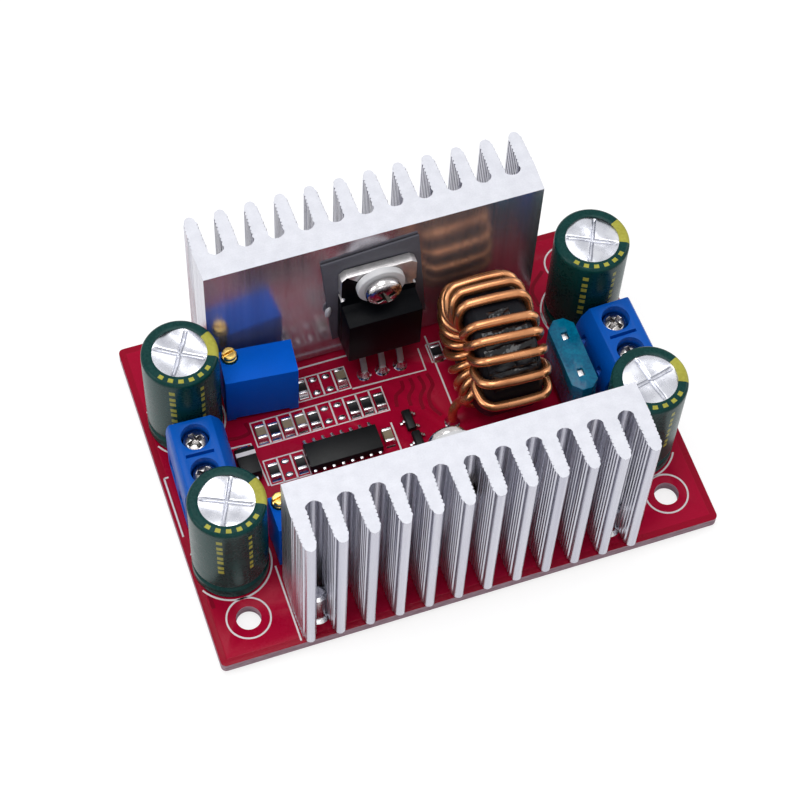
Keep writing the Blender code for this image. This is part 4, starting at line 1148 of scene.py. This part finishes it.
def sleeve_profile(radius, low, top):
    """The sleeve's section, with rings up the side that are fine enough for the printed bars."""
    start, stop = low + waist_level + waist_half, top - sleeve_round
    outer = [(radius, low)] + waist(radius, low)
    outer += [(radius, start + (stop - start) * step / side_rings) for step in range(1, side_rings)]
    outer += arc((radius - sleeve_round, top - sleeve_round), sleeve_round, 0, 80, 6)
    outer += [(disc_radius + (radius - disc_radius) * share, top) for share in (0.7, 0.5, 0.3, 0.12)]
    outer += [(disc_radius, top - sleeve_lip), (disc_radius, top - sleeve_wall)]
    inner = radius - sleeve_wall
    inside = [(inner - sleeve_round, top - sleeve_wall), (inner, top - sleeve_wall - sleeve_round)]
    return outer + inside + waist(inner, low)[::-1] + [(inner, low)]


# %% The sleeve's bare marks
band_degrees = 24
band_rim = 0.0006
band_start = 0.0016
band_block = 0.0011
block_degrees = 10
rim_depth = 0.0001
rim_reach = (0.00385, 0.00435)
rim_degrees = (-150, -40)
rim_step = 18
bar_step = 0.00045
bar_reach = (0.0015, 0.0105)
bar_columns = ((-118, 5), (-72, 4))


def inked(angle, height, reach, top):
    """Bare blocks of ink where a real sleeve has its print: a band, rim dashes and short bars."""
    degrees = (math.degrees(angle) + 180) % 360 - 180
    depth = top - height
    if abs(degrees) < band_degrees:
        block = depth > band_start and int(depth / band_block) % 2 == 0
        return depth < band_rim or (block and abs(degrees) < block_degrees)
    if depth < rim_depth:
        on_rim = rim_reach[0] < reach < rim_reach[1] and rim_degrees[0] < degrees < rim_degrees[1]
        return on_rim and int(degrees + 360) % rim_step < rim_step / 2
    bar = int(depth / bar_step) % 3 > 0 and bar_reach[0] < depth < bar_reach[1]
    return bar and any(abs(degrees - column) < half for column, half in bar_columns)


def sleeve(place):
    node = "capacitor_sleeve_" + place
    low, high, middle = boxed(node)
    profile = sleeve_profile((high.x - low.x) / 2, low.z, high.z)
    item = to_object(node + "_dressed", shape(lathe, profile, sleeve_sides, "Z", middle.xy, True))

    def test(spot_on_face):
        across, along = spot_on_face.x - middle.x, spot_on_face.y - middle.y
        return inked(math.atan2(along, across), spot_on_face.z, math.hypot(across, along), high.z)

    return present(mark_faces(item, test), sleeve_green, "sleeve_green", node)


# %% Can
vent_width = 0.0002
vent_depth = 0.00026
# The band beside each groove that is marked for the painted shade.
groove_shade_band = (0.00016, 0.00027)
vent_end = 0.0001
vent_fade = 0.0003
crumple = 0.00026
disc_drop = 0.0003
disc_overlap = 0.0003
disc_margin = 0.0002
can_gap = 0.00015
can_round = 0.0004
lead_overlap = 0.0001
disc_sides = 240
disc_rings = 24


def from_grooves(x, y, turn):
    """How far a point of the disc is from each of its two grooves."""
    return abs(x * math.cos(turn) + y * math.sin(turn)), abs(y * math.cos(turn) - x * math.sin(turn))


def disc_relief(x, y, turn, waves):
    groove = max(math.exp(-(away / vent_width) ** 2) for away in from_grooves(x, y, turn))
    groove *= min(1, max(0, (disc_radius - vent_end - math.hypot(x, y)) / vent_fade))
    wave = sum(math.sin(rate * (x * math.cos(way) + y * math.sin(way)) + phase) for rate, way, phase in waves)
    return crumple * wave / len(waves) - vent_depth * groove


def can(place, turn, draw):
    low, high, middle = boxed("capacitor_sleeve_" + place)
    node = "capacitor_can_" + place
    top = high.z - disc_drop
    radius = (high.x - low.x) / 2 - sleeve_wall - can_gap
    waves = [(draw.uniform(900, 2200), draw.uniform(0, math.tau), draw.uniform(0, math.tau))
             for wave in range(7)]
    mesh = bmesh.new()
    rings = [[mesh.verts.new((middle.x, middle.y, top))]]
    for ring in range(1, disc_rings + 1):
        points = circle((disc_radius + disc_overlap) * ring / disc_rings, disc_sides)
        rings.append([mesh.verts.new((middle.x + x, middle.y + y, top + disc_relief(x, y, turn, waves)))
                      for x, y in points])
    side = [(radius - can_round, top), (radius, top - can_round)] + waist(radius, low.z)[::-1]
    for reach, level in side + [(radius, low.z), (0, low.z)]:
        rings.append([mesh.verts.new((middle.x + x, middle.y + y, level))
                      for x, y in circle(reach, disc_sides)])
    skin(mesh, rings)
    for tip, half in tips[node]:
        rod(mesh, tip.xy, half, tip_level, low.z + lead_overlap, 16)

    # Painted shade: faces on the disc beside each groove are marked for the darker colour.
    def painted_groove_shade(spot_on_face):
        x, y = spot_on_face.x - middle.x, spot_on_face.y - middle.y
        on_disc = spot_on_face.z > top - vent_depth - crumple and math.hypot(x, y) < disc_radius - disc_margin
        return on_disc and groove_shade_band[0] < min(from_grooves(x, y, turn)) < groove_shade_band[1]

    item = mark_faces(to_object(node + "_dressed", mesh), painted_groove_shade)
    return present(item, can_aluminium, "can_aluminium", node)


for seed, (place, vent_degrees) in enumerate(capacitor_turns.items(), 11):
    pieces = sleeve(place), can(place, math.radians(vent_degrees), random.Random(seed))
    print(place, sum(len(item.data.polygons) for item in pieces), "faces")

# %% [markdown]
# ## Terminal blocks
# A screw terminal is a blue moulding with a round well over each screw and a square mouth for
# each wire. Under the screw a steel cage rises as the screw turns and pinches the wire against
# a fixed bar. The moulding is one outline pushed along its length, and everything else is cut.

# %% Housings
terminal_outer = 0.0033
terminal_inner = 0.00425
terminal_top_half = 0.00265
shoulder_drop = 0.0021
inner_chamfer = 0.0031
inner_round = 0.0013
inner_step = 0.0006
well_radius = 0.00185
well_depth = 0.0023
well_overlap = 0.0002
chamber_back = 0.0024
chamber_front = 0.0018
chamber_width = 0.0039
entry_width = 0.0033
entry_sill = 0.0008
entry_height = 0.0033
divider_half = 0.000225
divider_depth = 0.0012
divider_reach = 0.00185
notch_half = 0.00045
housing_edge = 0.00012
terminal_turn = math.radians(2)
pole_pitch = 0.005
poles = (-pole_pitch / 2, pole_pitch / 2)


def wells(mesh, top):
    for y in poles:
        rod(mesh, (0, y), well_radius, top - well_depth - well_overlap, top + cut_overrun, round_sides)


def chambers(mesh, low, top):
    for y in poles:
        box(mesh, (-chamber_back, y - chamber_width / 2, low - cut_overrun),
            (chamber_front, y + chamber_width / 2, top - well_depth))


def mouths(mesh, top):
    sill, notch = board_top + entry_sill, top - inner_chamfer
    for y in poles:
        box(mesh, (0, y - entry_width / 2, sill),
            (terminal_outer + cut_overrun, y + entry_width / 2, sill + entry_height))
        box(mesh, (-terminal_inner - cut_overrun, y - notch_half, notch - notch_half * 1.5),
            (-terminal_inner + 2 * notch_half, y + notch_half, notch + notch_half * 1.5))
    box(mesh, (-divider_reach, -divider_half, top - divider_depth),
        (divider_reach, divider_half, top + cut_overrun))


def terminal_housing(side_name, turn):
    node = "terminal_housing_" + side_name
    low, top = [corner.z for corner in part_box(node)]
    shoulder = top - shoulder_drop
    rounded = [polar(1, math.radians(angle)) for angle in (25, 50, 75)]
    outline = [(-terminal_inner, low), (terminal_outer, low), (terminal_outer, shoulder)]
    outline += [(terminal_top_half + (terminal_outer - terminal_top_half) * x, shoulder + shoulder_drop * y)
                for x, y in rounded]
    outline += [(terminal_top_half, top), (-terminal_top_half, top),
                (-terminal_inner + inner_step, top - inner_round), (-terminal_inner, top - inner_chamfer)]
    item = to_object(node + "_dressed", shape(prism, outline, -pole_pitch, pole_pitch, "Y"))
    for cutter in (shape(wells, top), shape(chambers, low, top), shape(mouths, top)):
        combine(item, "DIFFERENCE", cutter)
    bevelled(item, housing_edge)
    screws = [boxed(f"terminal_screw_{side_name}_{end}")[2] for end in ("rear", "front")]
    centre = (screws[0] + screws[1]) / 2
    item.data.transform(Matrix.Translation((centre.x, centre.y, 0)) @ Matrix.Rotation(turn, 4, "Z"))
    return present(item, terminal_blue, "terminal_blue", node)


for side_name, turn in (("left", math.pi - terminal_turn), ("right", terminal_turn)):
    item = terminal_housing(side_name, turn)
    print(item.name, len(item.data.polygons), "faces")

# %% Terminal screws, cages and bars
terminal_cross_turns = {"left_rear": 0.35, "left_front": 1.0, "right_rear": 0.6, "right_front": 0.1}
terminal_head_height = 0.0012
terminal_dome = 0.00035
terminal_shaft_radius = 0.0011
terminal_point = (0.0008, 0.0003)
terminal_cross_share = 0.85
cage_edge = 0.00008
bar_edge = 0.00005


def terminal_screw(name, turn):
    low, high, middle = boxed(name)
    radius = (high.x - low.x) / 2
    seat = high.z - terminal_head_height
    rounded = [polar(1, math.radians(angle)) for angle in (0, 35, 60, 78)]
    profile = [(0, low.z), (terminal_point[0], low.z), (terminal_shaft_radius, low.z + terminal_point[1]),
               (terminal_shaft_radius, seat), (radius, seat)]
    profile += [(radius * x, high.z - terminal_dome * (1 - y)) for x, y in rounded] + [(0, high.z)]
    mesh = shape(lathe, profile, screw_sides, "Z", middle.xy)
    mouth = Matrix.Translation((middle.x, middle.y, high.z))
    mouth = mouth @ Matrix.Diagonal((*[terminal_cross_share] * 3, 1))
    # The terminal screws get a lighter painted shade in their recess.
    return crossed_screw(name, mesh, mouth, turn, 0.6, name)


for spot_name, turn in terminal_cross_turns.items():
    terminal_screw("terminal_screw_" + spot_name, turn)
    cage, bar = "terminal_clamp_" + spot_name, "terminal_contact_" + spot_name
    dressed(cage, steel, "plated_steel", cage_edge, body=cage)
    dressed(bar, tin, "tin", bar_edge)

# %% [markdown]
# ## Trimmers
# A multi-turn trimmer is a small blue box with a slotted brass screw at one corner of its top.
# The screw is turned from a few points, with a groove round it and a slot cut through its head.

# %% Trimmers
slot_half = Vector((0.002, 0.0002))
slot_depth = 0.0006
slot_turn = 0.25
trimmer_radius = 0.00095
trimmer_section = ((1, 0.0009), (0.86, 0.00085), (0.86, 0.0007), (1, 0.00065), (1, 0.00015))
trimmer_chamfer = 0.00015
trimmer_screw_edge = 0.00003
trimmer_edge = 0.00009


def trimmer_screw(name):
    low, high, middle = boxed(name)
    profile = [(0, low.z), (trimmer_radius, low.z)]
    profile += [(trimmer_radius * share, high.z - depth) for share, depth in trimmer_section]
    profile += [(trimmer_radius - trimmer_chamfer, high.z), (0, high.z)]
    item = to_object(name + "_dressed", shape(lathe, profile, 40, "Z", middle.xy))
    cutter = shape(box, (*-slot_half, high.z - slot_depth), (*slot_half, high.z + cut_overrun))
    cutter.transform(Matrix.Translation((middle.x, middle.y, 0)) @ Matrix.Rotation(slot_turn, 4, "Z"))
    combine(item, "DIFFERENCE", cutter)
    bevelled(item, trimmer_screw_edge, 2, screw_bevel_angle)
    return present(item, brass, "brass", name, body=name)


for place in ("rear", "front"):
    dressed("trimmer_body_" + place, trimmer_blue, "trimmer_blue", trimmer_edge)
    trimmer_screw("trimmer_screw_" + place)

# %% [markdown]
# ## The wound ring
# The inductor is a black ring with one layer of thick enamelled wire. Each turn runs round the
# ring's section, and the turns are further apart on the outside than in the bore. The path is
# worked out turn by turn and smoothed by a curve through its points, and a tree sweeps a round
# section along it.

# %% The winding's path
core_low, core_high, core_middle = boxed("inductor_core")
core_outer = (core_high.z - core_low.z) / 2
core_half = (core_high.x - core_low.x) / 2
core_inner = 0.0045
core_chamfer = 0.0009
core_edge = 0.0003
wire_radius = 0.0005
wire_gap = 0.0001
wire_bend = 0.0015
soft_corner = 1.15
drawn_wire_radius = 0.00061
wire_side = core_half + wire_gap + wire_radius
wire_outer = core_outer + wire_gap + wire_radius
wire_inner = core_inner - wire_gap - wire_radius
strand_degrees = (173, 149, 129, 113, 99, 77, 60, 42, 24, 6, -13, -32, -51, -70, -88, -105)
strand_lean = 2.5
first_lead_degrees = 198
last_lead_degrees = -128
lead_side_distance = 0.0015
lead_arch = 0.0034
advance_shares = (-0.46, -0.3, -0.06, -0.03, 0, 0, 0.03, 0.06, 0.3, 0.46)


def ring_point(side, radius, degrees):
    return core_middle + Vector((side, *polar(radius, math.radians(degrees))))


def turn_section():
    slant = wire_bend * (1 - math.sqrt(0.5)) * soft_corner
    up = [(wire_side - wire_bend, wire_inner), (wire_side, wire_inner + wire_bend),
          (wire_side, wire_outer - wire_bend), (wire_side - slant, wire_outer - slant),
          (wire_side - wire_bend, wire_outer)]
    return up + [(-side, radius) for side, radius in up[::-1]]


def coil_points():
    anchors = [first_lead_degrees, *strand_degrees, last_lead_degrees]
    foot_x = core_middle.x - wire_side - wire_radius - lead_side_distance
    start = ring_point(wire_bend - wire_side, wire_inner, first_lead_degrees)
    path = [(foot_x, start.y, tip_level), (foot_x, start.y, board_top),
            (foot_x, start.y, board_top + lead_arch),
            (foot_x + wire_bend / 2, start.y, board_top + lead_arch + wire_bend),
            ring_point(-wire_side - wire_radius, wire_inner + wire_bend, first_lead_degrees), start]
    for before, here, after in zip(anchors, anchors[1:], anchors[2:]):
        for (across, radius), share in zip(turn_section(), advance_shares):
            lean = strand_lean * max(-1, min(1, across / (wire_side - wire_bend))) / 2
            drift = (before - here) if share < 0 else (here - after)
            path.append(ring_point(across, radius, here + lean - drift * share))
    end = ring_point(wire_side - wire_bend, wire_inner, last_lead_degrees)
    foot_x = core_middle.x + wire_side + wire_radius + lead_side_distance / 2
    path += [end, ring_point(wire_side + wire_radius, wire_inner + wire_bend, last_lead_degrees),
             (foot_x, end.y, board_top + lead_arch), (foot_x, end.y, board_top), (foot_x, end.y, tip_level)]
    return [Vector(point) for point in path]


# %% Winding and ring
coil_path = smoothed(coil_points(), 5)
winding = grown(paths_object("inductor_winding_dressed", [(coil_path, False)]), wire_tree,
                Radius=drawn_wire_radius, Resolution=20, Material=copper)
present(winding, copper, "copper_enamel", "inductor_winding")
flat_half = core_half - core_chamfer
ring_profile = [(core_outer - core_chamfer, -core_half), (core_outer, -flat_half), (core_outer, flat_half),
                (core_outer - core_chamfer, core_half), (core_inner + core_chamfer, core_half),
                (core_inner, flat_half), (core_inner, -flat_half), (core_inner + core_chamfer, -core_half)]
ring_profile = [(radius, core_middle.x + side) for radius, side in ring_profile]
core = to_object("inductor_core_dressed", shape(lathe, ring_profile, 96, "X", core_middle.yz, True))
present(bevelled(core, core_edge, 3), core_black, "core_black", "inductor_core")
print("winding:", len(winding.data.polygons), "faces,", len(coil_path), "points on its path")

# %% [markdown]
# ## The fuse
# A blade fuse is a clear tinted housing over two flat blades that a thin link joins. A wider
# head with cut corners closes its top, and two small windows let a meter reach the blades.

# %% Fuse
head_corner = 0.0011
head_height = 0.0026
neck_overlap = 0.0003
neck_inset = Vector((0.0003, 0.00055))
hollow_half = (0.0006, 0.00445)
hollow_roof = 0.0007
window_half = Vector((0.00042, 0.00055))
window_depth = 0.001
blade_spacing = 0.0057
contact_half = Vector((0.00036, 0.00048))
contact_drop = 0.00025
contact_depth = 0.0006
fuse_edge = 0.00018
blade_edge = 0.00005
fuse_low, fuse_high, fuse_middle = boxed("fuse_body")


def centred_box(mesh, offset, half, low, high):
    """A box over the fuse's middle, or at an offset from it along Y."""
    x, y = fuse_middle.x, fuse_middle.y + offset
    box(mesh, (x - half[0], y - half[1], low), (x + half[0], y + half[1], high))


def at_windows(mesh, half, low, high):
    for side in (-1, 1):
        centred_box(mesh, side * blade_spacing / 2, half, low, high)


def cut_corners(low, high, corner):
    return [(low.x, low.y + corner), (low.x + corner, low.y), (high.x - corner, low.y),
            (high.x, low.y + corner), (high.x, high.y - corner), (high.x - corner, high.y),
            (low.x + corner, high.y), (low.x, high.y - corner)]


head_outline = cut_corners(fuse_low, fuse_high, head_corner)
neck_top = fuse_high.z - head_height
housing = to_object("fuse_body_dressed", shape(prism, head_outline, neck_top, fuse_high.z))
neck_low = (fuse_low.x + neck_inset.x, fuse_low.y + neck_inset.y, fuse_low.z)
neck_high = (fuse_high.x - neck_inset.x, fuse_high.y - neck_inset.y, neck_top + neck_overlap)
combine(housing, "UNION", shape(box, neck_low, neck_high))
hollow = shape(centred_box, 0, hollow_half, fuse_low.z - cut_overrun, fuse_high.z - hollow_roof)
windows = shape(at_windows, window_half, fuse_high.z - window_depth, fuse_high.z + cut_overrun)
combine(housing, "DIFFERENCE", hollow, windows)
present(bevelled(housing, fuse_edge, 3), fuse_plastic, "fuse_teal", "fuse_body")
contact_top = fuse_high.z - contact_drop
contact_mesh = shape(at_windows, contact_half, contact_top - contact_depth, contact_top)
contacts = to_object("fuse_contacts", contact_mesh)
present(bevelled(contacts, blade_edge), tin, "tin")
dressed("fuse_blades", tin, "tin", blade_edge)
print("fuse housing:", len(housing.data.polygons), "faces")

# %% [markdown]
# ## Chips and small parts
# The controller, the small transistors, the diode and the chip parts keep their solids' forms.
# Each copy gets rounded edges and a mark on the faces that are metal, so that one material
# shows both the case and its bright ends.

# %% Chips with leads
# Each row: node, axis across the leads, half width of the case, rounding of its edges.
leaded_chips = (("controller_chip", 1, 0.00197, 0.00005), ("small_transistor_1", 0, 0.00067, 0.00004),
                ("small_transistor_2", 0, 0.00067, 0.00004), ("diode", 1, 0.00217, 0.00006))


def beyond(node, axis, half):
    """A test for faces that lie further from a node's middle than a case's half width."""
    middle = boxed(node)[2]
    return lambda spot_on_face: abs(spot_on_face[axis] - middle[axis]) > half


for name, axis, case_half, edge in leaded_chips:
    dressed(name, moulded_chip, "black_moulding", edge, beyond(name, axis, case_half))

# %% The diode's band
band_place = 0.00105
band_half = 0.0003
band_rise = 0.00001
band_drop = 0.0005


def diode_band(mesh):
    low, high, middle = boxed("diode")
    y = middle.y + band_place
    box(mesh, (low.x - band_rise, y - band_half, high.z - band_drop),
        (high.x + band_rise, y + band_half, high.z + band_rise))


present(to_object("diode_band", shape(diode_band)), silk_white, "white_nylon")

# %% Chip resistors and capacitors, with their solder
end_half = 0.00058
flat_edge = 0.00004
wedge_length = 0.0004
flat_names = sorted(name for name in nodes if name.startswith(("resistor_", "ceramic_")))


def solder_wedge(mesh):
    """A unit wedge: it climbs along +Y against a chip's end and is hollow on its flank."""
    prism(mesh, [(0, 0), (1, 0), (1, 1), (0.7, 0.55), (0.4, 0.2), (0.15, 0.05)], -0.5, 0.5, "X")


wedge_places = []
for name in flat_names:
    ceramic = name.startswith("ceramic")
    stuff = (chip_ceramic, "chip_ceramic") if ceramic else (chip_resistor, "black_moulding")
    dressed(name, *stuff, flat_edge, beyond(name, 1, end_half))
    low, high, middle = boxed(name)
    size = (high.x - low.x, wedge_length, (high.z - board_top) * 0.7)
    wedge_places.append(((middle.x, low.y - wedge_length, board_top), size, 0))
    wedge_places.append(((middle.x, high.y + wedge_length, board_top), size, math.pi))
repeated("chip_solder", solder_wedge, wedge_places, "tin")
print(len(flat_names), "chip parts with", len(wedge_places), "solder wedges")

# %% Empty pads
empty_cells = (("middle", 5), ("middle", 6), ("rear", 1), ("rear", 2), ("front", 1))
pad_reach = 0.0010
pad_size = (0.00058, 0.00042, 0.00022)


def pad_dome(mesh):
    """A unit blob of solder on a pad: round in plan, low at its rim."""
    lathe(mesh, [(0, 0), (1, 0), (0.95, 0.35), (0.75, 0.75), (0.4, 0.95), (0, 1)], 24)


pad_places = []
for row, cell in empty_cells:
    left, low_y, count, height = cell_rows[row]
    for side in (-1, 1):
        place = (left + (cell + 0.5) * cell_pitch, low_y + height / 2 + side * pad_reach, board_top)
        pad_places.append((place, pad_size, 0))
repeated("empty_pads", pad_dome, pad_places, "tin")
print(len(pad_places), "empty pads")

# %% [markdown]
# ## Glue on the winding
# Lumps of black glue hold the turns that face the camera. Each lump is a grid of points over
# the ring's rim, raised by a sum of waves and closed by a second grid below.

# %% Glue between the turns
glue_rise = 0.00045
glue_film = 0.00001
glue_root = 0.0003
glue_patches = ((103, 119, 0.0030), (119, 141, 0.0034), (141, 158, 0.0031), (86, 96, 0.0015))
glue_columns = 40
glue_rows = 18


def glue_lump(mesh, start, stop, half, draw):
    """A closed pillow on the ring's rim, higher and lower at random."""
    waves = [(draw.uniform(1, 5), draw.uniform(1, 5), draw.uniform(0, math.tau)) for wave in range(8)]
    top, base = [], []
    for row in range(glue_rows + 1):
        v = row / glue_rows
        degrees = start + (stop - start) * v
        top.append([])
        base.append([])
        for column in range(glue_columns + 1):
            u = column / glue_columns
            side = half * (2 * u - 1)
            bulge = (math.sin(math.pi * u) * math.sin(math.pi * v)) ** 0.4
            rough = sum(math.sin(math.tau * (a * u + b * v) / 2 + phase) for a, b, phase in waves) / 8
            rise = max(glue_rise * bulge * (0.55 + 0.9 * rough), 0)
            top[-1].append(mesh.verts.new(ring_point(side, core_outer + rise + glue_film, degrees)))
            base[-1].append(mesh.verts.new(ring_point(side, core_outer - glue_root, degrees)))
    rims = []
    for grid in (top, base):
        for low, high in zip(grid, grid[1:]):
            for column in range(glue_columns):
                mesh.faces.new([low[column], low[column + 1], high[column + 1], high[column]])
        rims.append(grid[0] + [line[-1] for line in grid[1:]] + grid[-1][-2::-1]
                    + [line[0] for line in grid[-2:0:-1]])
    skin(mesh, rims)


def glue(mesh):
    draw = random.Random(8)
    for start, stop, half in glue_patches:
        glue_lump(mesh, start, stop, half, draw)


present(to_object("inductor_glue", shape(glue)), glue_black, "core_black")
print(len(made), "pieces made")

# %% [markdown]
# ## Floor, light and camera
# The photograph is a cut-out on white. The floor and the sky show white to the camera and in
# metal and clear plastic, while only their dimmer part lights the object, and the floor keeps
# a soft shadow. A wide lamp above and one on each side show the metal's edges. The camera
# stands where the photograph's camera stood, found from the board's corners and the heatsinks.

# %% Floor and world
floor_reach = 1.5
floor_thickness = 0.02
floor_glow = 0.8
floor_tone = (0.3, 0.3, 0.3, 1)
sky_for_light = 0.36
sky_seen = 1.0
white = (1, 1, 1, 1)


def empty_graph(owner):
    owner.use_nodes = True
    owner.node_tree.nodes.clear()
    return Graph(owner.node_tree)


def seen_directly(graph):
    """1 for rays that show the background itself: to the camera, in metal and through plastic."""
    path = graph.add("LightPath")
    straight = graph.math("MAXIMUM", path["Is Camera Ray"], path["Is Transmission Ray"])
    return graph.math("MAXIMUM", straight, path["Is Glossy Ray"])


def floor_finish():
    material = bpy.data.materials.new("studio_floor")
    graph = empty_graph(material)
    strength = graph.math("MULTIPLY", seen_directly(graph), floor_glow)
    glow = graph.add("Emission", ("Color", white), ("Strength", strength))[0]
    matt = graph.add("BsdfDiffuse", ("Color", floor_tone))[0]
    graph.add("OutputMaterial", ("Surface", graph.add("AddShader", (0, glow), (1, matt))[0]))
    return material


floor_low = (-floor_reach, -floor_reach, -floor_thickness)
floor = to_object("studio_floor", shape(box, floor_low, (floor_reach, floor_reach, 0)))
floor.data.materials.append(floor_finish())
world = bpy.data.worlds.new("studio")
bpy.context.scene.world = world
sky_graph = empty_graph(world)
sky_level = sky_graph.spread(seen_directly(sky_graph), sky_for_light, sky_seen)
sky = sky_graph.add("Background", ("Color", white), ("Strength", sky_level))[0]
sky_graph.add("OutputWorld", ("Surface", sky))
print("floor and world:", floor.name, world.name)

# %% Lamps
lamp_target = Vector((0, 0, 0.01))
lamps = (("overhead", (-0.06, 0.03, 0.55), (0.4, 0.3), 1.35),
         ("left_side", (-0.5, 0.0, 0.28), (0.2, 0.3), 0.7),
         ("right_side", (0.5, 0.05, 0.28), (0.2, 0.3), 0.5),
         ("front_fill", (-0.1, -0.55, 0.25), (0.3, 0.2), 0.25))
for name, place, size, power in lamps:
    lamp = bpy.data.lights.new(name, "AREA")
    lamp.shape = "RECTANGLE"
    lamp.size, lamp.size_y = size
    lamp.energy = power
    item = linked(name, lamp)
    item.location = place
    item.rotation_euler = (lamp_target - Vector(place)).to_track_quat("-Z", "Y").to_euler()
print(len(lamps), "lamps")

# %% Camera
camera_place = Vector((-0.058874, -0.138607, 0.279698))
camera_direction = Vector((0.185008, 0.452854, -0.872178))
camera_roll = math.radians(3.79)
photo_size = 800
focal_pixels = 2398.98
sensor_width = 36.0
camera_data = bpy.data.cameras.new("camera")
camera_data.sensor_width = sensor_width
camera_data.lens = focal_pixels / photo_size * sensor_width
camera = linked("camera", camera_data)
upright = camera_direction.to_track_quat("-Z", "Y").to_matrix().to_4x4()
camera.matrix_world = Matrix.Translation(camera_place) @ upright @ Matrix.Rotation(camera_roll, 4, "Z")
bpy.context.scene.camera = camera
bpy.context.scene.view_settings.view_transform = "Standard"
print("lens", round(camera_data.lens, 2), "mm")
